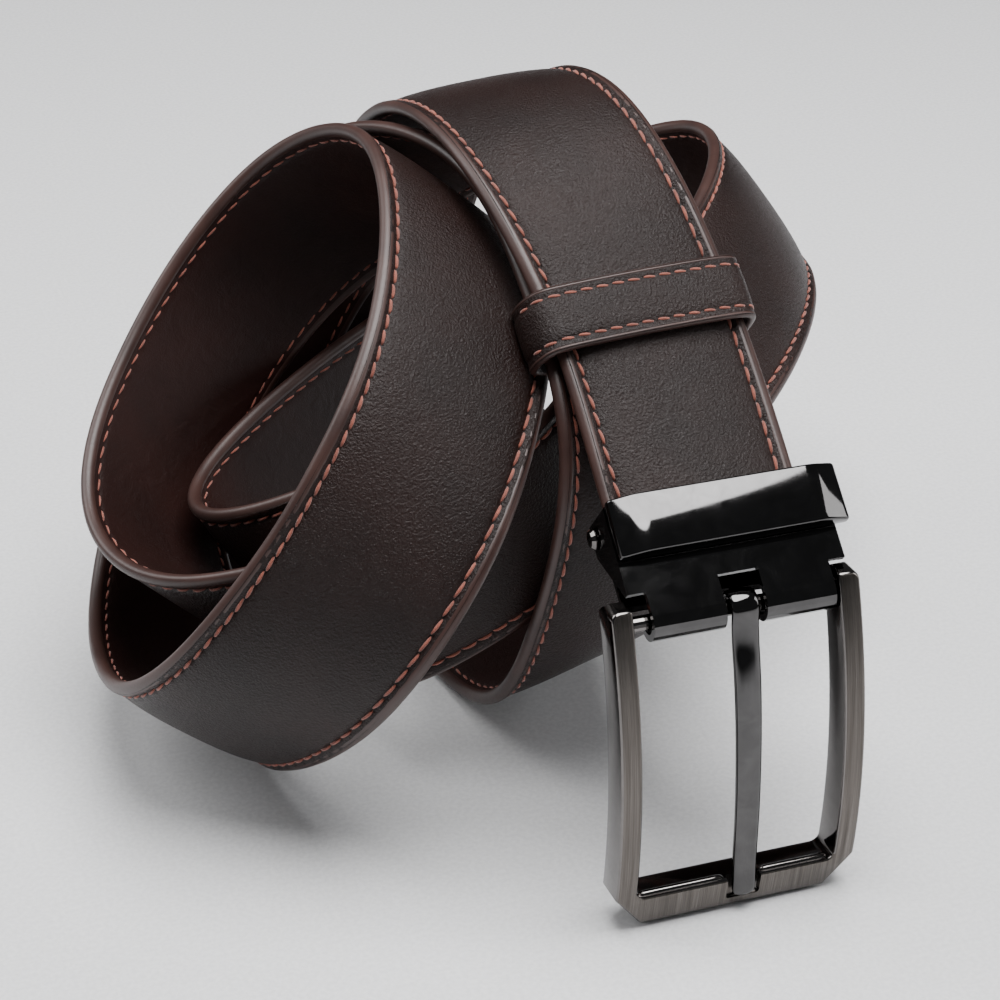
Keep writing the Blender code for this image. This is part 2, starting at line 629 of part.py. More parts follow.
def buckle_frame(clamp):
    outer, inner = FRAME_HALF_WIDTH, FRAME_HALF_WIDTH - ARM_WIDTH
    cut_x, cut_y = FRAME_CHAMFER
    bottom = -FRAME_LENGTH
    sill = bottom + FRAME_BAR_HEIGHT
    corner = FRAME_CORNER
    outline = [(-outer, ARM_RISE - corner), (-outer, bottom + cut_y), (cut_x - outer, bottom),
               (outer - cut_x, bottom), (outer, bottom + cut_y), (outer, ARM_RISE - corner),
               (outer - corner, ARM_RISE), (inner, ARM_RISE)]
    outline += [(inner, sill + corner), (inner - corner, sill), (corner - inner, sill), (-inner, sill + corner)]
    outline += [(-inner, ARM_RISE), (corner - outer, ARM_RISE)]
    placed = swung(clamp, FRAME_CENTRE)
    mesh = bowed(extruded_mesh("buckle_frame", [outline], FRAME_DEPTH))
    frame = finish("buckle_frame", mesh, GUNMETAL, placed, smooth_angle=20.0)
    bore = rod_mesh("bore", BAR_RADIUS + BORE_CLEARANCE, 2 * (inner + BORE_DEPTH))
    boolean(frame, cutter("bar_bore", bore, placed))
    seat = box_mesh("seat", (2 * SEAT_HALF_WIDTH, CUTTER_REACH, CUTTER_REACH),
                    (PRONG_CENTRE - FRAME_CENTRE, bottom + SEAT_BOTTOM + CUTTER_REACH / 2,
                     SEAT_FLOOR + CUTTER_REACH / 2))
    boolean(frame, cutter("prong_seat", seat, placed))
    heel = box_mesh("heel", (4 * FRAME_HALF_WIDTH, CUTTER_REACH, CUTTER_REACH),
                    (0.0, ARM_HEEL + CUTTER_REACH / 2, 0.0))
    boolean(frame, cutter("arm_heels", heel, placed @ Matrix.Rotation(math.radians(-45.0), 4, "X")))


def cross_bar(clamp):
    length = 2 * (FRAME_HALF_WIDTH - ARM_WIDTH + BORE_DEPTH - GAP)
    finish("cross_bar", rod_mesh("cross_bar", BAR_RADIUS, length), BLACK_CHROME, swung(clamp, FRAME_CENTRE))


def prong(clamp):
    """Tongue: an eye round the bar, a bowed shank and a tip that lies over the frame's sill."""
    half = PRONG_THICKNESS / 2
    tip = -FRAME_LENGTH + PRONG_TIP_AT
    over = SEAT_FLOOR + GAP + half
    spine = PRONG_SPINE + [(PRONG_LANDING[0], over + PRONG_LANDING[1]), (tip, over)]
    upper = [(y, z + half) for y, z in spine]
    lower = [(y, z - half) for y, z in reversed(spine)]
    upper[-1] = (tip + half, over + half)
    eye = arc((0.0, 0.0), PRONG_EYE_RADIUS, -120.0, 120.0, 12)
    outline = upper + lower + eye
    hole = circle((0.0, 0.0), BAR_RADIUS + BORE_CLEARANCE, 12)
    mesh = extruded_mesh("prong", [outline, hole], 2 * PRONG_HALF_WIDTH, SIDE_AXES)
    for vert in mesh.vertices:
        along = min(1.0, max(0.0, -vert.co.y / MM / FRAME_LENGTH))
        vert.co.x *= 1.0 - PRONG_NARROWING * along / PRONG_HALF_WIDTH
    finish("prong", mesh, BLACK_CHROME, swung(clamp, PRONG_CENTRE))


def main():
    route = Route(STRAP_ROUTE)
    strap_layers(route)
    second = np.array(STRAP_ROUTE[1][:3], dtype=float) + np.array(DRAWING_ORIGIN)
    keeper(route, route.lengths[np.argmin(np.linalg.norm(route.points - second, axis=1))] + KEEPER_SHIFT)
    clamp = route.matrix(0.0)
    clamp_body(clamp)
    clamp_cover(clamp)
    clamp_jaw(clamp)
    jaw_pins(clamp)
    cross_bar(clamp)
    buckle_frame(clamp)
    prong(clamp)


PARTS, CUTTERS = new_collections()
main()
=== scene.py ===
"""Looks of the coiled leather belt: strap, keeper, clamp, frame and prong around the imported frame."""
import math

import bmesh
import bpy
import numpy as np
from mathutils import Matrix, Vector


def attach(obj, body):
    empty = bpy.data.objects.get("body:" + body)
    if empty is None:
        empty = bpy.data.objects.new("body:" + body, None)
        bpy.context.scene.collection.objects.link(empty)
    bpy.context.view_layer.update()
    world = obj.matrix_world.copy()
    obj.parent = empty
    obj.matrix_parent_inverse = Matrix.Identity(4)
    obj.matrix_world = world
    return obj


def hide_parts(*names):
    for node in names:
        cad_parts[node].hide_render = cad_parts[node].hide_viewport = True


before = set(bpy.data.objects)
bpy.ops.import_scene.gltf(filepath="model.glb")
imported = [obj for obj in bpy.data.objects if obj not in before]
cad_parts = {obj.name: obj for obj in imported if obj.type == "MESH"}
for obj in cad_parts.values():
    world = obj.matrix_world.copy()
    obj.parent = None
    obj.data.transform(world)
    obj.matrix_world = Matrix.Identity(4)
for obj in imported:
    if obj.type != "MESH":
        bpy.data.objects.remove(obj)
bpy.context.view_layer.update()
MM = 0.001
SEED = 7

# ---- Route of the strap, in mm: centre line, turn of the width about Z and its dip in degrees.
DRAWING_ORIGIN = (-17.3, -49.8, -0.1)
STRAP_ROUTE = [
    (34, -2, 72, 0, 1), (33, 24, 93, 0, 1), (28, 53, 111, 0, -7), (24, 92, 105, 7, 1),
    (19, 115, 75, 15, 19), (15, 112, 41, 17, 9), (17, 89, 13, 14, -6), (22, 50, 8, 19, -15),
    (26, 15, 33, 4, -4), (31, 11, 69, 6, 11), (32, 34, 93, 6, 4), (28, 64, 100, 20, 19),
    (12, 97, 90, 9, 34), (-9, 106, 64, 1, 39), (-28, 94, 35, -16, 36), (-44, 67, 14, -9, 33),
    (-48, 31, 17, -4, 39), (-36, 6, 41, -26, 34), (-16, 5, 69, -34, 38), (3, 28, 91, -4, 28),
    (9, 62, 100, -3, 41), (-4, 90, 86, 0, 52), (-30, 90, 58, 8, 47), (-46, 63, 38, 15, 36),
    (-36, 31, 35, 4, 54), (-10, 15, 46, 27, 80), (24, 21, 60, -25, 71), (53, 44, 68, -51, 45),
    (78, 73, 73, -19, 48), (86, 111, 68, -16, 63), (67, 126, 55, -36, 68), (33, 109, 44, -25, 66),
    (0, 91, 38, -34, 74), (-29, 60, 31, -21, 51), (-16, 34, 42, -45, 44), (18, 28, 70, 2, 71),
]
ROUTE_SAMPLES = 4000

# ---- Strap, in mm: half widths and heights above the middle of the edge.
CLAMPED_LENGTH = 9.0             # strap end inside the clamp
TIP_LENGTH = 18.0                # the strap narrows over this length
TIP_NARROWING = 9.0              # by this much on each side
TIP_SHARES = (0.80, 0.88, 0.94, 0.97, 1.0)      # places of the tip's extra sections
TIP_MARGIN = 0.3                 # the last even section stays this far before them
MAX_TIP_SHARE = 0.98             # the end is left this blunt
LEATHER_HALF_WIDTH = 16.3
SECTION_POINTS = (0.0, 3.0, 6.0, 8.5, 10.5, 12.0, 12.9, 13.5, 13.9, 14.2, 14.5, 14.8, 15.15, 15.6, 16.0,
                  LEATHER_HALF_WIDTH)           # closer together around the groove
CROWN = 2.2
CROWN_FOOT = 0.95                # height at which the crown meets the groove
CROWN_SHAPE = (2.6, 0.8)         # powers of its curve: full in the middle, steep at the foot
RIM_RISE = 0.35                  # the leather climbs this much from the groove to its edge
RIM_WIDTH = 1.3
GROOVE_AT = 14.5
GROOVE_DEPTH = 0.12
GROOVE_SPREAD = 0.45
PUCKER_DEPTH = 0.3               # the needle pulls the leather down this far at each hole
PUCKER_SPREAD = 0.8
NEEDLE_SPREAD = 0.55
WAVE_HEIGHT = 0.04               # slow unevenness of the padded part
WAVE_LENGTHS = (23.0, 9.0)       # of its sine, along and across, for one radian
WAVE_EDGE = 12.0
SEAM_BETWEEN = -0.32             # the face leather's underside; the lining's top is a little lower
SEAM_GAP = 0.02
LINING_BOTTOM = -1.3
LINING_EDGE = (14.9, 1.4, 0.15)  # where its edge starts to turn up, over what width and how far
LINING_GROOVE = (0.5, 0.06, 0.22)               # spread, depth, and depth at the needle holes
BEAD_INNER = 15.9
BEAD_OUTER = 17.5
BEAD_HALF_HEIGHT = 1.32
BEAD_TURN = 100.0                # degrees that the bead's round side covers up and down
BEAD_ROOT = (0.9, 0.7)           # how far it reaches under the leather, and its half height there
BEAD_WAVES = ((0.05, 17.0), (0.03, 5.3))        # height and length of the paint's unevenness
TIP_BEAD_REACH = 1.0
TIP_BEAD_ROOT = (1.2, 0.6)       # how far it reaches back, and the share of its height there
HOLE_DIAMETER = 4.0
HOLE_PITCH = 25.0
HOLE_COUNT = 5
FIRST_HOLE_FROM_TIP = 116.0
PUNCH_LENGTH = 8.0

# ---- Stitches, in mm.
STITCH_PITCH = 3.3
RINGS_PER_STITCH = 3             # strap sections to a stitch
STITCH_END = 24.0                # the thread rows stop this far from the tip
STITCH_SHARE = (0.86, 0.05)      # of the pitch that a stitch covers, and how much that varies
STITCH_SLANT = 0.34
STITCH_JITTER = 0.05
STITCH_ARCH = 0.45
STITCH_SINK = 0.40
THREAD_RADIUS = 0.34
LINING_THREAD_RADIUS = 0.24
THREAD_ENDS = 0.55               # share of the radius at a stitch's ends
FACE_THREAD_LEVEL = 0.92
LINING_THREAD_LEVEL = -1.20
STITCH_STEPS = np.linspace(0.0, 1.0, 7)

# ---- Keeper, in mm. The loop is x across the strap and z out of it, and y runs across the band.
KEEPER_LENGTH = 12.0
KEEPER_SHIFT = -2.5              # from the second point of the route, along the strap
KEEPER_TILT = -2.5               # degrees that its right end leans towards the buckle
KEEPER_LOOP_POINTS = 190
KEEPER_CORNER_CUT = 0.22         # share of a side cut off each corner, in each smoothing round
KEEPER_ROUNDS = 3
KEEPER_RIGHT = 19.2
KEEPER_FLOOR_SLOPE = 0.113
KEEPER_ARCH_FROM = 4.0           # below the strap's middle at the right end
KEEPER_ARCH_FADE = 2.0           # the band thickens to its full height over this
KEEPER_INSIDE = [(19.2, -9.0), (19.2, -0.9), (18.7, 1.7), (17.2, 3.0), (11.1, 3.6), (0.0, 3.9),
                 (-11.1, 3.6), (-17.1, 3.1), (-18.9, 1.8), (-20.2, -1.2), (-20.4, -3.2),
                 (-20.5, -4.9), (-17.4, -6.8), (19.2, -10.6)]
KEEPER_SECTION = (0.0, 1.2, 2.4, 3.4, 3.75, 4.0, 4.25, 4.6, 5.2, 5.7)
KEEPER_HALF_BAND = 0.6           # thickness of the band on each side of the inside loop
KEEPER_PADDING = 0.2             # the arch stands out by this much more
KEEPER_CROWN = 0.22
KEEPER_CROWN_HALF_WIDTH = 4.3
KEEPER_GROOVE = (0.2, 0.35)      # depth and spread
KEEPER_BEAD_RADIUS = 0.62
KEEPER_BEAD_TOP = 0.64
KEEPER_BEAD_TURN = 110.0
KEEPER_THREAD_INSET = 2.0
KEEPER_THREAD_AT = KEEPER_LENGTH / 2 - KEEPER_THREAD_INSET
KEEPER_THREAD_ABOVE = -3.0       # the thread runs where the loop is higher than this
KEEPER_PITCH = 2.9
KEEPER_STITCH_GAP = 0.2          # at each end of a stitch
KEEPER_STITCH_RISE = (0.30, 0.42)
KEEPER_STITCH_SLANT = 0.30
KEEPER_THREAD_RADIUS = 0.30

# ---- Buckle, in mm, in the clamp's axes: x across the strap, y up it, z out of its face.
COVER_CENTRE = 1.8
COVER_HALF_WIDTH = 20.6
COVER_TOP = -4.0
COVER_HEIGHT = 10.3
COVER_BACK = 4.2
COVER_FRONT = 7.8
COVER_SHOULDER = (4.4, 1.5)
COVER_ROUNDING = 1.6
COVER_BEVEL = 0.45
BAR_CENTRE = (-24.2, 0.6)        # y and z of the cross bar
BAR_RADIUS = 1.4
BORE_CLEARANCE = 0.35
BORE_DEPTH = 2.5
FRAME_CENTRE = -0.6
FRAME_HALF_WIDTH = 22.2
ARM_WIDTH = 3.8
FRAME_LENGTH = 56.9
FRAME_DEPTH = 7.0
FRAME_BAR_HEIGHT = 6.0
FRAME_CHAMFER = (5.0, 6.5)
FRAME_ARCH = 4.0
FRAME_CORNER = 1.5
WINDOW_CORNER = 1.6
FRAME_BEVEL = 0.55
BOW_STEP = 1.5                   # the frame is cut across this often, so that it can bow
ARM_RISE = 3.9
ARM_HEEL = 3.8                   # the back corner of each arm's top is cut this far from the bar
FRAME_SWING = 46.4               # degrees that the frame hangs back from the strap
FRONT_FACING = 0.72              # faces turned further from the front than this are polished
SEAT_WIDTH = 6.2
SEAT_BOTTOM = 1.75
SEAT_FLOOR = 3.0
SEAT_BEVEL = 0.6
CUTTER_SIZE = 14.0
CUTTER_WIDTH = 100.0
LEDGE_RADIUS = 0.75
LEDGE_HEIGHT = 1.9
LEDGE_SINK = 0.1
LEDGE_END = 0.6                  # it stops this far from the arms
LEDGE_SEAT_HALF_WIDTH = 3.3
PRONG_CENTRE = 1.0
PRONG_HALF_WIDTH = 2.5
PRONG_NARROWING = 0.35
PRONG_EYE_MIDDLE = 2.4
PRONG_CURL = (-120.0, 100.0)     # degrees round the bar
PRONG_SHANK = [(-2.2, 2.3), (-5.0, 2.6), (-9.0, 3.35), (-18.0, 4.6), (-29.0, 5.2), (-40.0, 5.0),
               (-47.5, 4.5)]
PRONG_TIP_AT = 2.2               # the tip stops this far above the frame's lower edge
PRONG_TIP_HEIGHTS = (4.4, 4.35)
PRONG_TIP_RUN = 1.5
PRONG_BLUNTING = 1.3
PRONG_HALF_THICKNESS = (0.6, 0.5)               # at the eye, and how much more in the shank

# ---- Studio: camera in mm and degrees; floor and lights in metres.
CAMERA_TARGET = (-17.3, -49.8, 72.35)
CAMERA_AZIMUTH = -18.8
CAMERA_ELEVATION = 31.0
CAMERA_DISTANCE = 461.5
FLOOR_RADIUS = 2.6
FLOOR_THICKNESS = 0.004
FLOOR_DROP = 0.00005             # the floor's top is this far below the belt


# ================================================================ route
def natural_spline(knots, values):
    """The natural cubic spline through the values at the knots, as a function."""
    gaps = np.diff(knots)
    slopes = np.diff(values, axis=0) / gaps[:, None]
    system = np.eye(len(knots))
    target = np.zeros_like(values)
    for i in range(1, len(knots) - 1):
        system[i, i - 1:i + 2] = gaps[i - 1], 2.0 * (gaps[i - 1] + gaps[i]), gaps[i]
        target[i] = 6.0 * (slopes[i] - slopes[i - 1])
    bends = np.linalg.solve(system, target)

    def value_at(parameter):
        i = np.clip(np.searchsorted(knots, parameter, side="right") - 1, 0, len(knots) - 2)
        gap = gaps[i][:, None]
        near = (knots[i + 1] - parameter)[:, None] / gap
        far = 1.0 - near
        curved = (near ** 3 - near) * bends[i] + (far ** 3 - far) * bends[i + 1]
        return near * values[i] + far * values[i + 1] + curved * gap ** 2 / 6.0
    return value_at


def unit_rows(rows):
    return rows / np.linalg.norm(rows, axis=1)[:, None]


class Route:
    """Centre line of the strap in mm, with the three directions that ride along it."""

    def __init__(self, stations):
        table = np.array(stations, dtype=float)
        points = table[:, :3] + np.array(DRAWING_ORIGIN)
        turn, dip = np.radians(table[:, 3]), np.radians(table[:, 4])
        widths = np.stack([np.cos(dip) * np.cos(turn), np.cos(dip) * np.sin(turn), -np.sin(dip)], axis=1)
        chords = np.linalg.norm(np.diff(points, axis=0), axis=1)
        knots = np.concatenate([[0.0], np.cumsum(chords)])
        fine = np.linspace(0.0, knots[-1], ROUTE_SAMPLES)
        self.points = natural_spline(knots, points)(fine)
        self.along = unit_rows(np.gradient(self.points, axis=0))
        across = natural_spline(knots, widths)(fine)
        across -= np.sum(across * self.along, axis=1)[:, None] * self.along
        self.across = unit_rows(across)
        steps = np.linalg.norm(np.diff(self.points, axis=0), axis=1)
        self.lengths = np.concatenate([[0.0], np.cumsum(steps)])
        self.length = self.lengths[-1]

    def frames(self, s):
        """Points, across, along and outward at lengths along the strap, straight past both ends."""
        def read(rows):
            return np.stack([np.interp(s, self.lengths, rows[:, i]) for i in range(3)], axis=1)
        along = unit_rows(read(self.along))
        beyond = np.minimum(s, 0.0) + np.maximum(s - self.length, 0.0)
        point = read(self.points) + along * beyond[:, None]
        across = read(self.across)
        across -= np.sum(across * along, axis=1)[:, None] * along
        across = unit_rows(across)
        return point, across, along, np.cross(across, along)

    def matrix(self, s):
        point, across, along, outward = (rows[0] for rows in self.frames(np.array([s])))
        turn = Matrix([Vector(across), Vector(along), Vector(outward)]).transposed().to_4x4()
        return Matrix.Translation(Vector(point) * MM) @ turn


ROUTE = Route(STRAP_ROUTE)


# ================================================================ mesh tools
def piece(name, mesh, body, material, replaces=(), matrix=Matrix.Identity(4), angle=180.0):
    """Object of a mesh that rides on a body; edges sharper than the angle in degrees stay sharp."""
    mesh.materials.clear()
    mesh.materials.append(material)
    mesh.shade_smooth()
    if angle < 180.0:
        mesh.set_sharp_from_angle(angle=math.radians(angle))
    made = bpy.data.objects.new(name, mesh)
    made.matrix_world = matrix
    bpy.context.scene.collection.objects.link(made)
    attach(made, body)
    if replaces:
        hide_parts(*replaces)
    return made


def tube_mesh(name, rings, closed_along=False):
    """Skin over rings of points in mm, each ring closed, with capped ends."""
    rings = np.asarray(rings, dtype=float)
    count, around = rings.shape[:2]
    verts = (rings.reshape(-1, 3) * MM).tolist()
    rows = count if closed_along else count - 1
    i, j = np.meshgrid(np.arange(rows), np.arange(around), indexing="ij")
    after, beside = (i + 1) % count, (j + 1) % around
    quads = np.stack([i * around + j, i * around + beside, after * around + beside, after * around + j],
                     axis=-1).reshape(-1, 4).tolist()
    if not closed_along:
        quads.append(list(range(around))[::-1])
        quads.append([(count - 1) * around + k for k in range(around)])
    mesh = bpy.data.meshes.new(name)
    mesh.from_pydata(verts, [], quads)
    mesh.validate()
    shape = bmesh.new()
    shape.from_mesh(mesh)
    bmesh.ops.recalc_face_normals(shape, faces=shape.faces)
    shape.to_mesh(mesh)
    shape.free()
    return mesh


def mesh_from(shape, name):
    mesh = bpy.data.meshes.new(name)
    shape.to_mesh(mesh)
    shape.free()
    return mesh


def applied(mesh, *modifiers):
    """The mesh after some modifiers, each given as (kind, settings)."""
    holder = bpy.data.objects.new("holder", mesh)
    bpy.context.scene.collection.objects.link(holder)
    for kind, settings in modifiers:
        modifier = holder.modifiers.new(kind.lower(), kind)
        for key, value in settings.items():
            setattr(modifier, key, value)
    bpy.context.view_layer.update()
    result = bpy.data.meshes.new_from_object(holder.evaluated_get(bpy.context.evaluated_depsgraph_get()))
    result.name = mesh.name
    bpy.data.objects.remove(holder)
    return result


def cut(mesh, tool_mesh, matrix=Matrix.Identity(4)):
    tool = bpy.data.objects.new("tool", tool_mesh)
    tool.matrix_world = matrix
    bpy.context.scene.collection.objects.link(tool)
    bpy.context.view_layer.update()
    result = applied(mesh, ("BOOLEAN", {"operation": "DIFFERENCE", "object": tool, "solver": "EXACT"}))
    bpy.data.objects.remove(tool)
    return result


def add_cylinder(shape, radius, depth, segments, matrix):
    bmesh.ops.create_cone(shape, cap_ends=True, segments=segments, depth=depth * MM, radius1=radius * MM,
                          radius2=radius * MM, matrix=matrix)


def cylinder(radius, depth, segments, matrix):
    shape = bmesh.new()
    add_cylinder(shape, radius, depth, segments, matrix)
    return mesh_from(shape, "cylinder")


def box(size, centre):
    shape = bmesh.new()
    bmesh.ops.create_cube(shape, size=1.0)
    placed = Matrix.Translation(Vector(centre) * MM) @ Matrix.Diagonal((*(Vector(size) * MM), 1.0))
    bmesh.ops.transform(shape, matrix=placed, verts=shape.verts)
    return mesh_from(shape, "box")


def arc(centre, radius, start, end, steps):
    angles = [math.radians(start + (end - start) * i / steps) for i in range(steps + 1)]
    return [(centre[0] + radius * math.cos(a), centre[1] + radius * math.sin(a)) for a in angles]


def prism(name, outline, low, high, axes=((1, 0, 0), (0, 1, 0), (0, 0, 1))):
    """Solid of a flat outline in mm, from low to high along the third of its axes."""
    shape = bmesh.new()
    x_axis, y_axis, z_axis = (Vector(axis) for axis in axes)
    rows = []
    for z in (low, high):
        rows.append([shape.verts.new((x_axis * x + y_axis * y + z_axis * z) * MM) for x, y in outline])
    count = len(outline)
    for i in range(count):
        j = (i + 1) % count
        shape.faces.new((rows[0][i], rows[0][j], rows[1][j], rows[1][i]))
    shape.faces.new(rows[0][::-1])
    shape.faces.new(rows[1])
    bmesh.ops.recalc_face_normals(shape, faces=shape.faces)
    return mesh_from(shape, name)


def rounded(outline, radius, steps=5):
    """A closed outline with each corner rounded to a radius, or less where its sides are short."""
    made = []
    for i, corner in enumerate(outline):
        here = Vector(corner)
        before, after = Vector(outline[i - 1]) - here, Vector(outline[(i + 1) % len(outline)]) - here
        reach = min(radius, before.length * 0.45, after.length * 0.45)
        start, end = here + before.normalized() * reach, here + after.normalized() * reach
        for k in range(steps + 1):
            t = k / steps
            made.append(tuple(start * (1 - t) ** 2 + here * 2 * t * (1 - t) + end * t ** 2))
    return made


# ================================================================ materials
def nodes_for(name):
    material = bpy.data.materials.new(name)
    material.use_nodes = True
    tree = material.node_tree
    return material, tree, tree.nodes["Principled BSDF"]


def add(tree, kind, inputs=(), **settings):
    node = tree.nodes.new(kind)
    for key, value in settings.items():
        setattr(node, key, value)
    for key, value in dict(inputs).items():
        if isinstance(value, bpy.types.NodeSocket):
            tree.links.new(value, node.inputs[key])
        else:
            node.inputs[key].default_value = value
    return node


def object_place(tree, scale=(1.0, 1.0, 1.0)):
    """Object coordinates in mm, scaled by axis."""
    place = add(tree, "ShaderNodeTexCoord")
    mapped = add(tree, "ShaderNodeMapping", {"Vector": place.outputs["Object"],
                                             "Scale": tuple(value / MM for value in scale)})
    return mapped.outputs["Vector"]


def ramp(tree, factor, stops):
    node = add(tree, "ShaderNodeValToRGB", {"Fac": factor})
    elements = node.color_ramp.elements
    while len(elements) < len(stops):
        elements.new(0.5)
    for element, (position, color) in zip(elements, stops):
        element.position = position
        element.color = (*color, 1.0)
    return node.outputs["Color"]


def math_node(tree, operation, a, b):
    return add(tree, "ShaderNodeMath", {0: a, 1: b}, operation=operation).outputs[0]


def bump(tree, height, distance, strength, normal=None):
    inputs = {"Height": height, "Distance": distance * MM, "Strength": strength}
    if normal is not None:
        inputs["Normal"] = normal
    return add(tree, "ShaderNodeBump", inputs).outputs["Normal"]


def leather(name, dark, light, grain_size, grain_depth, wrinkle_depth, roughness):
    """Finished leather: pebbled grain with pores, soft wrinkles and a slow change of tone; sizes in mm."""
    material, tree, shader = nodes_for(name)
    place = object_place(tree)
    warp = add(tree, "ShaderNodeTexNoise", {"Vector": place, "Scale": 0.9 / grain_size, "Detail": 2.0})
    shifted_place = add(tree, "ShaderNodeMixRGB", {"Fac": 0.35, "Color1": place,
                                                   "Color2": warp.outputs["Color"]},
                        blend_type="ADD").outputs["Color"]
    cells = add(tree, "ShaderNodeTexVoronoi", {"Vector": shifted_place, "Scale": 1.0 / grain_size,
                                               "Randomness": 1.0}, feature="SMOOTH_F1")
    pores = add(tree, "ShaderNodeTexNoise", {"Vector": place, "Scale": 1.6 / grain_size, "Detail": 3.0,
                                             "Roughness": 0.6, "Distortion": 0.6})
    folds = add(tree, "ShaderNodeTexNoise", {"Vector": place, "Scale": 0.22, "Detail": 4.0,
                                             "Roughness": 0.55, "Distortion": 1.2})
    broad = add(tree, "ShaderNodeTexNoise", {"Vector": place, "Scale": 0.045, "Detail": 3.0})
    pebbles = math_node(tree, "SUBTRACT", 1.0, cells.outputs["Distance"])
    grain = math_node(tree, "ADD", math_node(tree, "MULTIPLY", pebbles, 0.7),
                      math_node(tree, "MULTIPLY", pores.outputs["Fac"], 0.9))
    tone = math_node(tree, "ADD", math_node(tree, "MULTIPLY", broad.outputs["Fac"], 0.7),
                     math_node(tree, "MULTIPLY", pores.outputs["Fac"], 0.35))
    color = ramp(tree, tone, [(0.36, dark), (0.68, light)])
    tree.links.new(color, shader.inputs["Base Color"])
    rough = add(tree, "ShaderNodeMapRange", {"Value": grain, "From Min": 0.5, "From Max": 1.2,
                                             "To Min": roughness + 0.12, "To Max": roughness - 0.05})
    tree.links.new(rough.outputs["Result"], shader.inputs["Roughness"])
    first = bump(tree, grain, grain_depth, 1.0)
    tree.links.new(bump(tree, folds.outputs["Fac"], wrinkle_depth, 1.0, first), shader.inputs["Normal"])
    shader.inputs["Specular IOR Level"].default_value = 0.26
    return material


def edge_paint():
    """Satin edge paint, slightly uneven."""
    material, tree, shader = nodes_for("edge_paint_look")
    place = object_place(tree)
    broad = add(tree, "ShaderNodeTexNoise", {"Vector": place, "Scale": 0.12, "Detail": 3.0})
    fine = add(tree, "ShaderNodeTexNoise", {"Vector": place, "Scale": 2.2, "Detail": 3.0})
    color = ramp(tree, broad.outputs["Fac"],
                 [(0.3, (0.024, 0.009, 0.007)), (0.7, (0.042, 0.018, 0.014))])
    tree.links.new(color, shader.inputs["Base Color"])
    rough = add(tree, "ShaderNodeMapRange", {"Value": fine.outputs["Fac"], "To Min": 0.36, "To Max": 0.52})
    tree.links.new(rough.outputs["Result"], shader.inputs["Roughness"])
    tree.links.new(bump(tree, fine.outputs["Fac"], 0.03, 0.6), shader.inputs["Normal"])
    return material


def thread_look():
    """Thread with fine fibres and a slow change of tone."""
    material, tree, shader = nodes_for("thread_look")
    place = object_place(tree)
    fibres = add(tree, "ShaderNodeTexNoise", {"Vector": place, "Scale": 7.0, "Detail": 4.0,
                                              "Roughness": 0.7, "Distortion": 0.4})
    broad = add(tree, "ShaderNodeTexNoise", {"Vector": place, "Scale": 0.5, "Detail": 2.0})
    tone = math_node(tree, "ADD", math_node(tree, "MULTIPLY", fibres.outputs["Fac"], 0.6),
                     math_node(tree, "MULTIPLY", broad.outputs["Fac"], 0.4))
    color = ramp(tree, tone, [(0.34, (0.10, 0.022, 0.013)), (0.66, (0.33, 0.085, 0.05))])
    tree.links.new(color, shader.inputs["Base Color"])
    tree.links.new(bump(tree, fibres.outputs["Fac"], 0.08, 1.0), shader.inputs["Normal"])
    shader.inputs["Roughness"].default_value = 0.7
    shader.inputs["Sheen Weight"].default_value = 0.3
    return material


def polished(name, color, roughness):
    """Dark mirror plating with faint smears and hairline scratches."""
    material, tree, shader = nodes_for(name)
    place = object_place(tree)
    smears = add(tree, "ShaderNodeTexNoise", {"Vector": place, "Scale": 0.25, "Detail": 4.0,
                                              "Distortion": 1.0})
    scratches = add(tree, "ShaderNodeTexNoise",
                    {"Vector": object_place(tree, (0.25, 4.0, 4.0)), "Scale": 1.0, "Detail": 2.0})
    shade = ramp(tree, smears.outputs["Fac"], [(0.3, tuple(0.8 * c for c in color)), (0.7, color)])
    tree.links.new(shade, shader.inputs["Base Color"])
    rough = add(tree, "ShaderNodeMapRange", {"Value": smears.outputs["Fac"], "From Min": 0.35,
                                             "From Max": 0.7, "To Min": roughness,
                                             "To Max": roughness + 0.03})
    tree.links.new(rough.outputs["Result"], shader.inputs["Roughness"])
    tree.links.new(bump(tree, scratches.outputs["Fac"], 0.0006, 0.4), shader.inputs["Normal"])
    shader.inputs["Metallic"].default_value = 1.0
    return material


def brushed():
    """Gunmetal plating with brush lines that run along the piece's own y."""
    material, tree, shader = nodes_for("gunmetal_brushed")
    fine = add(tree, "ShaderNodeTexNoise", {"Vector": object_place(tree, (7.0, 0.05, 0.3)),
                                            "Scale": 1.0, "Detail": 4.0, "Roughness": 0.7})
    coarse = add(tree, "ShaderNodeTexNoise", {"Vector": object_place(tree, (1.3, 0.03, 0.1)),
                                              "Scale": 1.0, "Detail": 2.0})
    lines = math_node(tree, "ADD", math_node(tree, "MULTIPLY", fine.outputs["Fac"], 0.65),
                      math_node(tree, "MULTIPLY", coarse.outputs["Fac"], 0.35))
    shade = ramp(tree, lines, [(0.36, (0.070, 0.062, 0.056)), (0.52, (0.115, 0.103, 0.094)),
                               (0.66, (0.165, 0.150, 0.138))])
    tree.links.new(shade, shader.inputs["Base Color"])
    rough = add(tree, "ShaderNodeMapRange", {"Value": lines, "From Min": 0.35, "From Max": 0.65,
                                             "To Min": 0.36, "To Max": 0.26})
    tree.links.new(rough.outputs["Result"], shader.inputs["Roughness"])
    tree.links.new(bump(tree, lines, 0.035, 0.8), shader.inputs["Normal"])
    shader.inputs["Metallic"].default_value = 1.0
    shader.inputs["Anisotropic"].default_value = 0.6
    return material


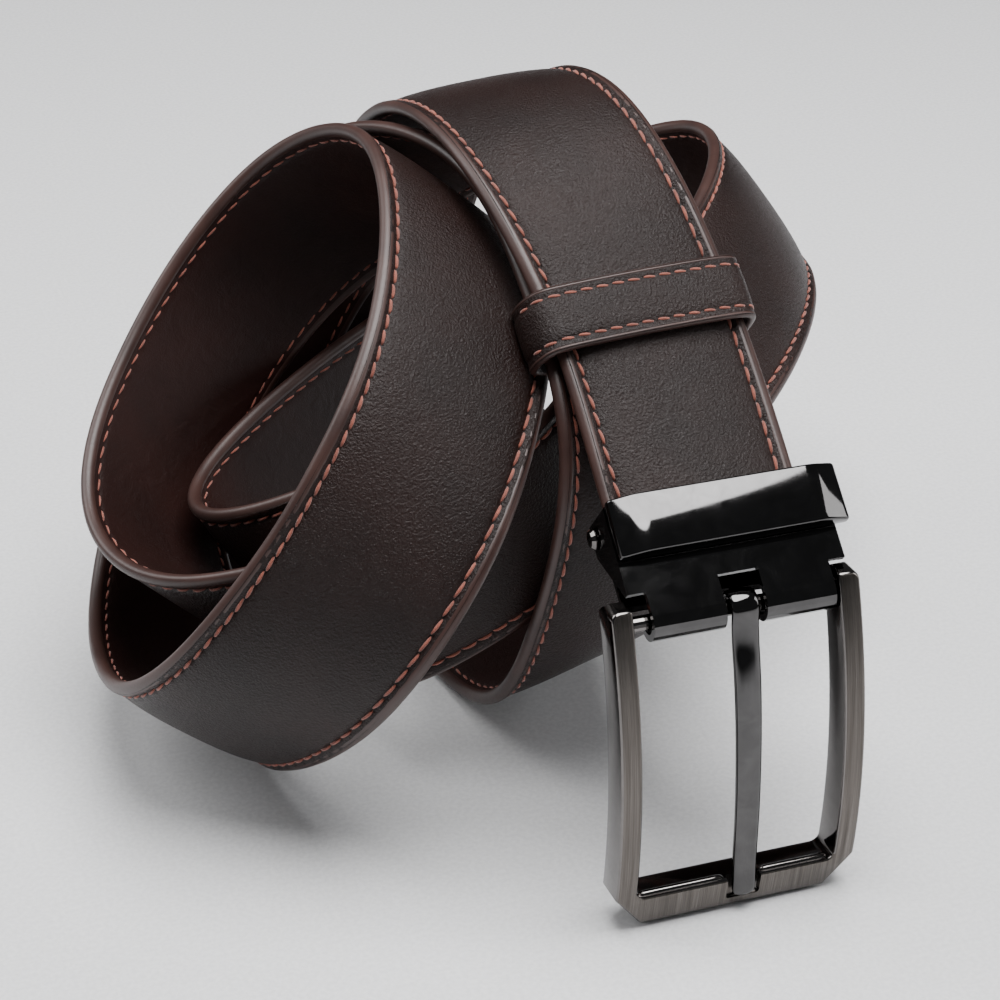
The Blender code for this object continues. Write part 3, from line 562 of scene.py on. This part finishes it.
FACE = leather("strap_leather_look", dark=(0.0056, 0.0018, 0.0013), light=(0.0130, 0.0046, 0.0034),
               grain_size=0.46, grain_depth=0.20, wrinkle_depth=0.04, roughness=0.35)
LINING = leather("lining_leather_look", dark=(0.0085, 0.0022, 0.0016), light=(0.0190, 0.0056, 0.0042),
                 grain_size=0.36, grain_depth=0.05, wrinkle_depth=0.2, roughness=0.46)
EDGE = edge_paint()
THREAD = thread_look()
BLACK = polished("black_chrome_look", (0.085, 0.083, 0.083), 0.045)
BRIGHT = polished("dark_polish_look", (0.16, 0.15, 0.145), 0.10)
BRUSHED = brushed()
WIRE = polished("steel_look", (0.5, 0.5, 0.5), 0.22)


# ================================================================ strap
def narrowing(s):
    """How far each side has come in at lengths along the strap; only the tip narrows."""
    share = np.clip((s - (ROUTE.length - TIP_LENGTH)) / TIP_LENGTH, 0.0, MAX_TIP_SHARE)
    return TIP_NARROWING * (1.0 - np.sqrt(1.0 - share ** 2))


def stitch_starts():
    last = ROUTE.length - STITCH_END
    count = int((last + CLAMPED_LENGTH) / STITCH_PITCH)
    return -CLAMPED_LENGTH + STITCH_PITCH * np.arange(count)


def strap_stations():
    """Lengths along the strap that get a section: a few to a stitch, and the tip's own."""
    step = STITCH_PITCH / RINGS_PER_STITCH
    count = int((ROUTE.length + CLAMPED_LENGTH) / step)
    places = -CLAMPED_LENGTH + step * np.arange(count)
    tip = ROUTE.length - TIP_LENGTH * (1.0 - np.array(TIP_SHARES))
    return np.concatenate([places[places < tip[0] - TIP_MARGIN], tip])


def spread(distance, width):
    """1 at no distance, falling smoothly to 0 over about twice the width."""
    return np.exp(-(distance / width) ** 2)


def dimples(s):
    """1 where the needle went through, 0 between, for each length along the strap."""
    ends = stitch_starts()
    distance = np.min(np.abs(s[:, None] - ends[None, :]), axis=1)
    return spread(distance, NEEDLE_SPREAD)


def skin(s, u, v):
    """Rings of points on the strap for sections u, v given per station."""
    point, across, _, outward = ROUTE.frames(s)
    return point[:, None, :] + across[:, None, :] * u[:, :, None] + outward[:, None, :] * v[:, :, None]


def face_height(u):
    side = np.abs(u)
    fullness, steepness = CROWN_SHAPE
    swell = np.maximum(0.0, 1.0 - (side / GROOVE_AT) ** fullness) ** steepness
    crown = CROWN_FOOT + (CROWN - CROWN_FOOT) * swell
    rim = CROWN_FOOT + RIM_RISE * np.sin(np.clip((side - GROOVE_AT) / RIM_WIDTH, 0.0, 1.0) * math.pi / 2)
    return np.where(side < GROOVE_AT, crown, rim)


def face_mesh(s, dip, scale):
    half = np.array(SECTION_POINTS)
    top = np.concatenate([half[::-1], -half[1:]])
    from_groove = np.abs(top) - GROOVE_AT
    run_along, run_across = WAVE_LENGTHS
    wave = WAVE_HEIGHT * np.sin(s[:, None] / run_along + top[None, :] / run_across)
    heights = (face_height(top) - GROOVE_DEPTH * spread(from_groove, GROOVE_SPREAD))[None, :]
    heights = heights - PUCKER_DEPTH * dip[:, None] * spread(from_groove, PUCKER_SPREAD)[None, :]
    heights = heights + wave * (np.abs(top) < WAVE_EDGE)[None, :]
    u = np.concatenate([top, [-LEATHER_HALF_WIDTH, LEATHER_HALF_WIDTH]])[None, :] * scale[:, None]
    v = np.concatenate([heights, np.full((len(s), 2), SEAM_BETWEEN)], axis=1)
    return tube_mesh("strap_face_leather", skin(s, u, v))


def lining_mesh(s, dip, scale):
    half = np.array(SECTION_POINTS)
    lower = np.concatenate([-half[::-1], half[1:]])
    width, groove_depth, needle_depth = LINING_GROOVE
    turn_from, turn_width, turn_up = LINING_EDGE
    gutter = spread(np.abs(lower) - GROOVE_AT, width)
    edge = turn_up * np.clip((np.abs(lower) - turn_from) / turn_width, 0.0, 1.0)
    depth = (LINING_BOTTOM + edge + groove_depth * gutter)[None, :]
    depth = depth + needle_depth * dip[:, None] * gutter[None, :]
    u = np.concatenate([lower, [LEATHER_HALF_WIDTH, -LEATHER_HALF_WIDTH]])[None, :] * scale[:, None]
    v = np.concatenate([depth, np.full((len(s), 2), SEAM_BETWEEN - SEAM_GAP)], axis=1)
    return tube_mesh("strap_lining_leather", skin(s, u, v))


def punch_mesh():
    punches = bmesh.new()
    for i in range(HOLE_COUNT):
        place = ROUTE.matrix(ROUTE.length - FIRST_HOLE_FROM_TIP - i * HOLE_PITCH)
        add_cylinder(punches, HOLE_DIAMETER / 2, PUNCH_LENGTH, 24, place)
    return mesh_from(punches, "punch")


def strap_leathers():
    """The face leather, and the lining and edge beads that lie on it."""
    s = strap_stations()
    dip = dimples(s)
    scale = 1.0 - narrowing(s) / BEAD_INNER
    face, lining = face_mesh(s, dip, scale), lining_mesh(s, dip, scale)
    punch = punch_mesh()
    face, lining = cut(face, punch), cut(lining, punch)
    made = piece("strap_face_leather", face, "strap", FACE, ("strap_face", "strap_filler"))
    under = piece("strap_lining_leather", lining, "strap", LINING, ("strap_lining",))
    edges = [edge_bead("edge_bead_" + name + "_painted", side, s, ("edge_bead_" + name,))
             for side, name in ((-1.0, "left"), (1.0, "right"))]
    return made, [under, *edges, tip_bead()]


def edge_bead(name, side, s, replaces):
    angles = np.radians(np.linspace(-BEAD_TURN, BEAD_TURN, 13))
    (long_height, long_run), (short_height, short_run) = BEAD_WAVES
    wave = long_height * np.sin(s / long_run + side) + short_height * np.sin(s / short_run)
    root_depth, root_height = BEAD_ROOT
    inward = narrowing(s)[:, None]
    width, height = BEAD_OUTER - BEAD_INNER, BEAD_HALF_HEIGHT
    u = BEAD_INNER - inward + np.cos(angles)[None, :] * (width + wave[:, None])
    v = np.sin(angles)[None, :] * (height + 0.5 * wave[:, None])
    inner = np.full((len(s), 1), BEAD_INNER - root_depth) - inward
    u = np.concatenate([u, inner, inner], axis=1)
    v = np.concatenate([v, np.full_like(inner, root_height), np.full_like(inner, -root_height)], axis=1)
    return piece(name, tube_mesh(name, skin(s, side * u, v)), "strap", EDGE, replaces)


def tip_bead():
    """Painted edge across the square end of the strap, round at both corners."""
    last = ROUTE.length
    half = BEAD_OUTER - float(narrowing(np.array([last]))[0])
    back, root_share = TIP_BEAD_ROOT
    angles = np.radians(np.linspace(-BEAD_TURN, BEAD_TURN, 11))
    rings = []
    for u in np.linspace(-half, half, 31):
        share = abs(u) / half
        reach = TIP_BEAD_REACH * math.sqrt(max(0.02, 1.0 - share ** 6))
        height = BEAD_HALF_HEIGHT * math.sqrt(max(0.06, 1.0 - share ** 10))
        s = np.concatenate([last + np.cos(angles) * reach, [last - back, last - back]])
        v = np.concatenate([np.sin(angles) * height, [root_share * height, -root_share * height]])
        rings.append(skin(s, np.full((len(s), 1), u), v[:, None])[:, 0, :])
    name = "edge_bead_tip_painted"
    return piece(name, tube_mesh(name, rings), "strap", EDGE)


# ================================================================ stitches
def stitch_shape(centres, normals, radii, sides=6):
    """Rings of one stitch along its centres; normals and radii per centre."""
    along = unit_rows(np.gradient(centres, axis=0))
    beside = unit_rows(np.cross(along, normals))
    up = np.cross(beside, along)
    angles = 2.0 * math.pi * np.arange(sides) / sides
    return (centres[:, None, :] + radii[:, None, None] * (beside[:, None, :] * np.cos(angles)[None, :, None]
            + up[:, None, :] * np.sin(angles)[None, :, None]))


def stitches_mesh(name, all_rings):
    """One mesh of separate capped tubes."""
    verts, faces, start = [], [], 0
    for rings in all_rings:
        count, around = rings.shape[:2]
        verts.append(rings.reshape(-1, 3))
        for i in range(count - 1):
            for j in range(around):
                k = (j + 1) % around
                faces.append((start + i * around + j, start + i * around + k,
                              start + (i + 1) * around + k, start + (i + 1) * around + j))
        faces.append(tuple(start + j for j in range(around))[::-1])
        faces.append(tuple(start + (count - 1) * around + j for j in range(around)))
        start += count * around
    mesh = bpy.data.meshes.new(name)
    mesh.from_pydata((np.concatenate(verts) * MM).tolist(), [], faces)
    mesh.validate()
    return mesh


def stitch_arch():
    """Height of a stitch at its steps, as a share: 0 at both ends and full in the middle."""
    return np.sin(math.pi * STITCH_STEPS) ** 0.6


def strap_stitches(name, side, facing, level, radius, replaces=()):
    chance = np.random.default_rng(SEED + int(side * 2 + facing))
    shortest, variation = STITCH_SHARE
    arched = stitch_arch()
    rise = level + facing * (STITCH_ARCH * arched - STITCH_SINK)
    radii = radius * (THREAD_ENDS + (1.0 - THREAD_ENDS) * arched)
    rings = []
    for start in stitch_starts():
        length = STITCH_PITCH * (shortest + variation * chance.random())
        s = start + 0.5 * (STITCH_PITCH - length) + length * STITCH_STEPS
        slant = side * STITCH_SLANT * (STITCH_STEPS - 0.5) + STITCH_JITTER * (chance.random() - 0.5)
        point, across, _, outward = ROUTE.frames(s)
        centres = point + across * (side * GROOVE_AT + slant)[:, None] + outward * rise[:, None]
        rings.append(stitch_shape(centres, outward * facing, radii))
    return piece(name, stitches_mesh(name, rings), "strap", THREAD, replaces)


# ================================================================ keeper
def loop_normals(loop):
    """Directions out of a closed loop that runs anticlockwise, one to each point."""
    tangent = unit_rows(np.roll(loop, -1, axis=0) - np.roll(loop, 1, axis=0))
    return np.stack([tangent[:, 1], -tangent[:, 0]], axis=1)


def smooth_loop(points, rounds):
    """The loop with its corners cut off again and again."""
    near, far = 1.0 - KEEPER_CORNER_CUT, KEEPER_CORNER_CUT
    loop = np.array(points, dtype=float)
    for _ in range(rounds):
        after = np.roll(loop, -1, axis=0)
        loop = np.stack([near * loop + far * after, far * loop + near * after], axis=1).reshape(-1, 2)
    return loop


def evenly(loop, count):
    closed = np.concatenate([loop, loop[:1]])
    lengths = np.concatenate([[0.0], np.cumsum(np.linalg.norm(np.diff(closed, axis=0), axis=1))])
    places = np.linspace(0.0, lengths[-1], count, endpoint=False)
    return np.stack([np.interp(places, lengths, closed[:, i]) for i in range(2)], axis=1)


def keeper_rings(loop, y, grow):
    """Points of the band at places y across it; grow gives the distance out of the loop."""
    normals = loop_normals(loop)
    made = []
    for place, distance in zip(y, grow):
        ring = loop + normals * np.broadcast_to(distance, len(loop))[:, None]
        made.append(np.stack([ring[:, 0], np.full(len(ring), place), ring[:, 1]], axis=1))
    return np.stack(made, axis=1)


def keeper():
    second = np.array(STRAP_ROUTE[1][:3], dtype=float) + np.array(DRAWING_ORIGIN)
    near = np.argmin(np.linalg.norm(ROUTE.points[:200] - second, axis=1))
    placed = ROUTE.matrix(ROUTE.lengths[near] + KEEPER_SHIFT)
    placed = placed @ Matrix.Rotation(math.radians(KEEPER_TILT), 4, "Z")
    loop = evenly(smooth_loop(KEEPER_INSIDE, KEEPER_ROUNDS), KEEPER_LOOP_POINTS)
    above_floor = loop[:, 1] + KEEPER_ARCH_FROM + KEEPER_FLOOR_SLOPE * (KEEPER_RIGHT - loop[:, 0])
    on_arch = np.clip(above_floor / KEEPER_ARCH_FADE, 0.0, 1.0)
    inward = -KEEPER_HALF_BAND * on_arch
    keeper_band(loop, on_arch, inward, placed)
    for side, name in ((1.0, "upper"), (-1.0, "lower")):
        keeper_bead("keeper_bead_" + name, side, loop, on_arch, inward, placed)
        keeper_stitches("keeper_stitches_" + name, side, loop, placed, ("keeper_stitch_" + name,))


def keeper_band(loop, on_arch, inward, placed):
    half = np.array(KEEPER_SECTION)
    places = np.concatenate([-half[:0:-1], half])
    depth, width = KEEPER_GROOVE
    groove = depth * spread(np.abs(places) - KEEPER_THREAD_AT, width)
    crown = KEEPER_CROWN * np.maximum(0.0, 1.0 - (places / KEEPER_CROWN_HALF_WIDTH) ** 2) ** 0.7 - groove
    y = np.concatenate([places, [half[-1], -half[-1]]])
    outward = [KEEPER_HALF_BAND + (KEEPER_PADDING + rise) * on_arch for rise in crown]
    band = tube_mesh("keeper_band", keeper_rings(loop, y, outward + [inward, inward]), closed_along=True)
    piece("keeper_band", band, "keeper", FACE, ("keeper_face", "keeper_lining"), placed)


def keeper_bead(name, side, loop, on_arch, inward, placed):
    angles = np.radians(np.linspace(-KEEPER_BEAD_TURN, KEEPER_BEAD_TURN, 11))
    y = side * (KEEPER_LENGTH / 2 - KEEPER_BEAD_RADIUS + KEEPER_BEAD_RADIUS * np.cos(angles))
    top = KEEPER_BEAD_TOP + KEEPER_PADDING * on_arch
    middle, reach = (top + inward) / 2, (top - inward) / 2
    grow = [middle + reach * height for height in np.sin(angles)]
    bead = tube_mesh(name, keeper_rings(loop, y, grow), closed_along=True)
    piece(name, bead, "keeper", EDGE, (), placed)


def keeper_stitches(name, side, loop, placed, replaces):
    lengths = np.concatenate([[0.0], np.cumsum(np.linalg.norm(np.diff(loop, axis=0), axis=1))])
    normal = loop_normals(loop)
    shown = loop[:, 1] > KEEPER_THREAD_ABOVE
    low, high = lengths[shown].min(), lengths[shown].max()
    chance = np.random.default_rng(SEED + 20 + int(side))
    foot, climb = KEEPER_STITCH_RISE
    arched = stitch_arch()
    rise = foot + climb * arched
    radii = KEEPER_THREAD_RADIUS * (THREAD_ENDS + (1.0 - THREAD_ENDS) * arched)
    slant = KEEPER_STITCH_SLANT * (STITCH_STEPS - 0.5)
    rings = []
    for start in np.arange(low, high - KEEPER_PITCH, KEEPER_PITCH):
        s = start + KEEPER_STITCH_GAP + (KEEPER_PITCH - 2 * KEEPER_STITCH_GAP) * STITCH_STEPS
        x, z = (np.interp(s, lengths, loop[:, i]) for i in range(2))
        out = unit_rows(np.stack([np.interp(s, lengths, normal[:, i]) for i in range(2)], axis=1))
        y = side * KEEPER_THREAD_AT + slant + STITCH_JITTER * (chance.random() - 0.5)
        centres = np.stack([x + out[:, 0] * rise, y, z + out[:, 1] * rise], axis=1)
        up = np.stack([out[:, 0], np.zeros(len(s)), out[:, 1]], axis=1)
        rings.append(stitch_shape(centres, up, radii))
    piece(name, stitches_mesh(name, rings), "keeper", THREAD, replaces, placed)


# ================================================================ buckle
CLAMP = ROUTE.matrix(0.0)


def shifted(matrix, x, y=0.0, z=0.0):
    return matrix @ Matrix.Translation(Vector((x, y, z)) * MM)


def swung(x):
    """Axes on the cross bar at x, turned so that y runs up the hanging frame."""
    y, z = BAR_CENTRE
    return shifted(CLAMP, x, y, z) @ Matrix.Rotation(math.radians(FRAME_SWING), 4, "X")


def clamp_cover():
    """Cover of the clamp: flat front, sloping shoulders and rounded corners."""
    half = COVER_HALF_WIDTH
    run, drop = COVER_SHOULDER
    outline = [(-half, COVER_BACK), (half, COVER_BACK), (half, COVER_FRONT - drop),
               (half - run, COVER_FRONT), (run - half, COVER_FRONT), (-half, COVER_FRONT - drop)]
    mesh = prism("clamp_cover_plated", rounded(outline, COVER_ROUNDING, 6), -COVER_HEIGHT / 2,
                 COVER_HEIGHT / 2, ((1, 0, 0), (0, 0, 1), (0, -1, 0)))
    mesh = applied(mesh, ("BEVEL", {"width": COVER_BEVEL * MM, "segments": 4, "limit_method": "ANGLE",
                                    "angle_limit": math.radians(50.0)}))
    piece("clamp_cover_plated", mesh, "strap", BLACK, ("clamp_cover",),
          shifted(CLAMP, COVER_CENTRE, COVER_TOP - COVER_HEIGHT / 2), 38.0)


def arch(y):
    """How far the frame bows out at y, in mm."""
    half = FRAME_LENGTH / 2
    return FRAME_ARCH * (1.0 - ((y + half) / half) ** 2)


def bowed(mesh):
    """The mesh cut into short strips and bent along the frame's arch."""
    shape = bmesh.new()
    shape.from_mesh(mesh)
    for i in range(int(FRAME_LENGTH / BOW_STEP) + 2):
        geometry = shape.verts[:] + shape.edges[:] + shape.faces[:]
        bmesh.ops.bisect_plane(shape, geom=geometry, dist=0.001 * MM,
                               plane_co=(0.0, BOW_STEP * (1 - i) * MM, 0.0), plane_no=(0.0, 1.0, 0.0))
    for vert in shape.verts:
        vert.co.z += arch(vert.co.y / MM) * MM
    shape.to_mesh(mesh)
    shape.free()
    return mesh


def frame_outline(outer, inner, bottom, sill):
    """Outline of the flat frame: a U with cut lower corners and rounded tops."""
    cut_x, cut_y = FRAME_CHAMFER
    shoulder = ARM_RISE - FRAME_CORNER
    return [
        (-outer, bottom + cut_y), (cut_x - outer, bottom), (outer - cut_x, bottom), (outer, bottom + cut_y),
        (outer, shoulder), *arc((outer - FRAME_CORNER, shoulder), FRAME_CORNER, 15.0, 90.0, 5),
        (inner, ARM_RISE), *arc((inner - WINDOW_CORNER, sill + WINDOW_CORNER), WINDOW_CORNER, 0.0, -90.0, 5),
        *arc((WINDOW_CORNER - inner, sill + WINDOW_CORNER), WINDOW_CORNER, 270.0, 180.0, 5),
        (-inner, ARM_RISE), *arc((FRAME_CORNER - outer, shoulder), FRAME_CORNER, 90.0, 165.0, 5),
        (-outer, shoulder),
    ]


def buckle_frame():
    """Bowed frame with a seat for the prong, bored arms and polished sides."""
    outer, inner = FRAME_HALF_WIDTH, FRAME_HALF_WIDTH - ARM_WIDTH
    bottom = -FRAME_LENGTH
    sill = bottom + FRAME_BAR_HEIGHT
    mesh = prism("buckle_frame_brushed", frame_outline(outer, inner, bottom, sill),
                 -FRAME_DEPTH / 2, FRAME_DEPTH / 2)
    mesh = applied(mesh, ("BEVEL", {"width": FRAME_BEVEL * MM, "segments": 3, "limit_method": "ANGLE",
                                    "angle_limit": math.radians(50.0)}))
    mesh = bowed(mesh)
    seat_x = PRONG_CENTRE - FRAME_CENTRE
    seat_centre = (seat_x, bottom + SEAT_BOTTOM + CUTTER_SIZE / 2, SEAT_FLOOR + CUTTER_SIZE / 2)
    seat = applied(box((SEAT_WIDTH, CUTTER_SIZE, CUTTER_SIZE), seat_centre),
                   ("BEVEL", {"width": SEAT_BEVEL * MM, "segments": 3}))
    mesh = cut(mesh, seat)
    mesh = cut(mesh, cylinder(BAR_RADIUS + BORE_CLEARANCE, 2 * (inner + BORE_DEPTH), 32,
                              Matrix.Rotation(math.radians(90.0), 4, "Y")))
    heel = box((CUTTER_WIDTH, CUTTER_SIZE, CUTTER_SIZE), (0.0, ARM_HEEL + CUTTER_SIZE / 2, 0.0))
    mesh = cut(mesh, heel, Matrix.Rotation(math.radians(-45.0), 4, "X"))
    made = piece("buckle_frame_brushed", mesh, "frame", BRUSHED, ("buckle_frame",),
                 swung(FRAME_CENTRE), 32.0)
    made.data.materials.append(BRIGHT)
    for polygon in made.data.polygons:
        if polygon.normal.z < FRONT_FACING:
            polygon.material_index = 1
    sill_ledge(seat_x, inner, sill)


def sill_ledge(seat_x, inner, sill):
    """Half-round step that runs along the inside of the sill, on both sides of the prong's seat."""
    end = inner - LEDGE_END
    angles = np.radians(np.linspace(-20.0, 200.0, 12))
    for side, low, high in (("left", -end, seat_x - LEDGE_SEAT_HALF_WIDTH),
                            ("right", seat_x + LEDGE_SEAT_HALF_WIDTH, end)):
        name = "frame_ledge_" + side
        rings = []
        for share in np.linspace(0.0, 1.0, 25):
            x = low + (high - low) * share
            reach = LEDGE_RADIUS * math.sqrt(max(0.05, 1.0 - (2 * share - 1) ** 16))
            y = sill - LEDGE_SINK + np.sin(angles) * reach
            z = arch(sill) + LEDGE_HEIGHT + np.cos(angles) * reach
            rings.append(np.stack([np.full(len(y), x), y, z], axis=1))
        piece(name, tube_mesh(name, rings), "frame", BRIGHT, (), swung(FRAME_CENTRE), 60.0)


def signed_power(values, exponent):
    """Values raised to a power with their signs kept."""
    return np.sign(values) * np.abs(values) ** exponent


def prong_spine(tip):
    """Middle of the strip as rows of y and z, and how many of them lie in the curl."""
    turn = np.radians(np.linspace(*PRONG_CURL, 22))
    curl = np.stack([np.cos(turn), np.sin(turn)], axis=1) * PRONG_EYE_MIDDLE
    before, last = PRONG_TIP_HEIGHTS
    shank = np.array(PRONG_SHANK + [(tip + PRONG_TIP_RUN, before), (tip, last)])
    knots = np.concatenate([[0.0], np.cumsum(np.linalg.norm(np.diff(shank, axis=0), axis=1))])
    fine = natural_spline(knots, shank)(np.linspace(0.0, knots[-1], 60))
    return np.concatenate([curl, fine]), len(curl)


def prong():
    """Tongue forged from one strip: curled round the bar, then bowed down to its blunt tip."""
    tip = PRONG_TIP_AT - FRAME_LENGTH
    spine, curled = prong_spine(tip)
    tangent = unit_rows(np.gradient(spine, axis=0))
    outward = np.stack([tangent[:, 1], -tangent[:, 0]], axis=1)
    eye_thickness, growth = PRONG_HALF_THICKNESS
    angles = np.radians(np.arange(0.0, 360.0, 15.0))
    rings = []
    for i, (y, z) in enumerate(spine):
        half_width = PRONG_HALF_WIDTH - PRONG_NARROWING * max(0.0, -y) / FRAME_LENGTH
        half_thick = eye_thickness + growth * min(1.0, max(0.0, (i - curled + 4) / 16.0))
        blunt = 1.0
        if i > curled:
            past = max(0.0, (tip + PRONG_BLUNTING - y) / PRONG_BLUNTING)
            blunt = math.sqrt(max(0.10, 1.0 - past ** 2))
        x = signed_power(np.cos(angles), 0.7) * half_width * blunt
        lift = signed_power(np.sin(angles), 0.9) * half_thick * blunt
        rings.append(np.stack([x, y + lift * outward[i, 0], z + lift * outward[i, 1]], axis=1))
    piece("prong_plated", tube_mesh("prong_plated", rings), "prong", BLACK, ("prong",),
          swung(PRONG_CENTRE), 60.0)


def dress_nodes():
    """Finer materials for the nodes that stay as they are."""
    for name, look in (("clamp_body", BLACK), ("clamp_jaw", BLACK), ("jaw_pin_left", BRIGHT),
                       ("jaw_pin_right", BRIGHT), ("cross_bar", BRIGHT), ("keeper_staple", WIRE)):
        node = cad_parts[name]
        for i in range(len(node.data.materials)):
            node.data.materials[i] = look


# ================================================================ studio
def studio():
    floor = cylinder(FLOOR_RADIUS / MM, FLOOR_THICKNESS / MM, 96,
                     Matrix.Translation((0.0, 0.0, -FLOOR_THICKNESS / 2 - FLOOR_DROP)))
    material, tree, shader = nodes_for("floor_look")
    speckle = add(tree, "ShaderNodeTexNoise", {"Vector": object_place(tree), "Scale": 1.1, "Detail": 5.0})
    shade = ramp(tree, speckle.outputs["Fac"], [(0.35, (0.66, 0.66, 0.67)), (0.65, (0.74, 0.74, 0.75))])
    tree.links.new(shade, shader.inputs["Base Color"])
    shader.inputs["Roughness"].default_value = 0.75
    floor.materials.append(material)
    ground = bpy.data.objects.new("floor", floor)
    bpy.context.scene.collection.objects.link(ground)

    world = bpy.data.worlds.new("studio")
    bpy.context.scene.world = world
    world.use_nodes = True
    background = world.node_tree.nodes["Background"]
    background.inputs["Color"].default_value = (0.80, 0.82, 0.85, 1.0)
    background.inputs["Strength"].default_value = 0.12

    softbox("key", "DISK", place=(0.070, -0.090, 0.77), target=(0.070, -0.090, 0.0), size=(0.62, 0.62),
            watts=13.0)
    softbox("back_left", "RECTANGLE", place=(-0.55, 0.35, 0.60), target=(0.0, 0.0, 0.06), size=(0.4, 0.6),
            watts=5.0)
    softbox("right_rim", "RECTANGLE", place=(0.65, -0.25, 0.35), target=(0.02, -0.05, 0.04),
            size=(0.25, 0.5), watts=2.0)


def softbox(name, outline, place, target, size, watts):
    data = bpy.data.lights.new(name, "AREA")
    data.shape = outline
    data.size, data.size_y = size
    data.energy = watts
    light = bpy.data.objects.new(name, data)
    aim = (Vector(target) - Vector(place)).to_track_quat("-Z", "Y").to_matrix().to_4x4()
    light.matrix_world = Matrix.Translation(place) @ aim
    bpy.context.scene.collection.objects.link(light)


def camera():
    data = bpy.data.cameras.new("camera")
    data.lens = 100.0
    data.sensor_width = 36.0
    data.clip_start = 0.01
    target = Vector(CAMERA_TARGET) * MM
    azimuth, elevation = math.radians(CAMERA_AZIMUTH), math.radians(CAMERA_ELEVATION)
    back = Vector((math.sin(azimuth) * math.cos(elevation), -math.cos(azimuth) * math.cos(elevation),
                   math.sin(elevation)))
    made = bpy.data.objects.new("camera", data)
    made.matrix_world = (Matrix.Translation(target + back * CAMERA_DISTANCE * MM)
                         @ (-back).to_track_quat("-Z", "Y").to_matrix().to_4x4())
    bpy.context.scene.collection.objects.link(made)
    bpy.context.scene.camera = made


def strap():
    leather_face, on_it = strap_leathers()
    for name, side in (("left", -1.0), ("right", 1.0)):
        on_it.append(strap_stitches("stitches_face_" + name, side, 1.0, FACE_THREAD_LEVEL, THREAD_RADIUS,
                                    ("stitch_row_" + name,)))
    for name, side in (("left", -1.0), ("right", 1.0)):
        on_it.append(strap_stitches("stitches_lining_" + name, side, -1.0, LINING_THREAD_LEVEL,
                                    LINING_THREAD_RADIUS))


camera()
strap()
keeper()
clamp_cover()
buckle_frame()
prong()
dress_nodes()
studio()
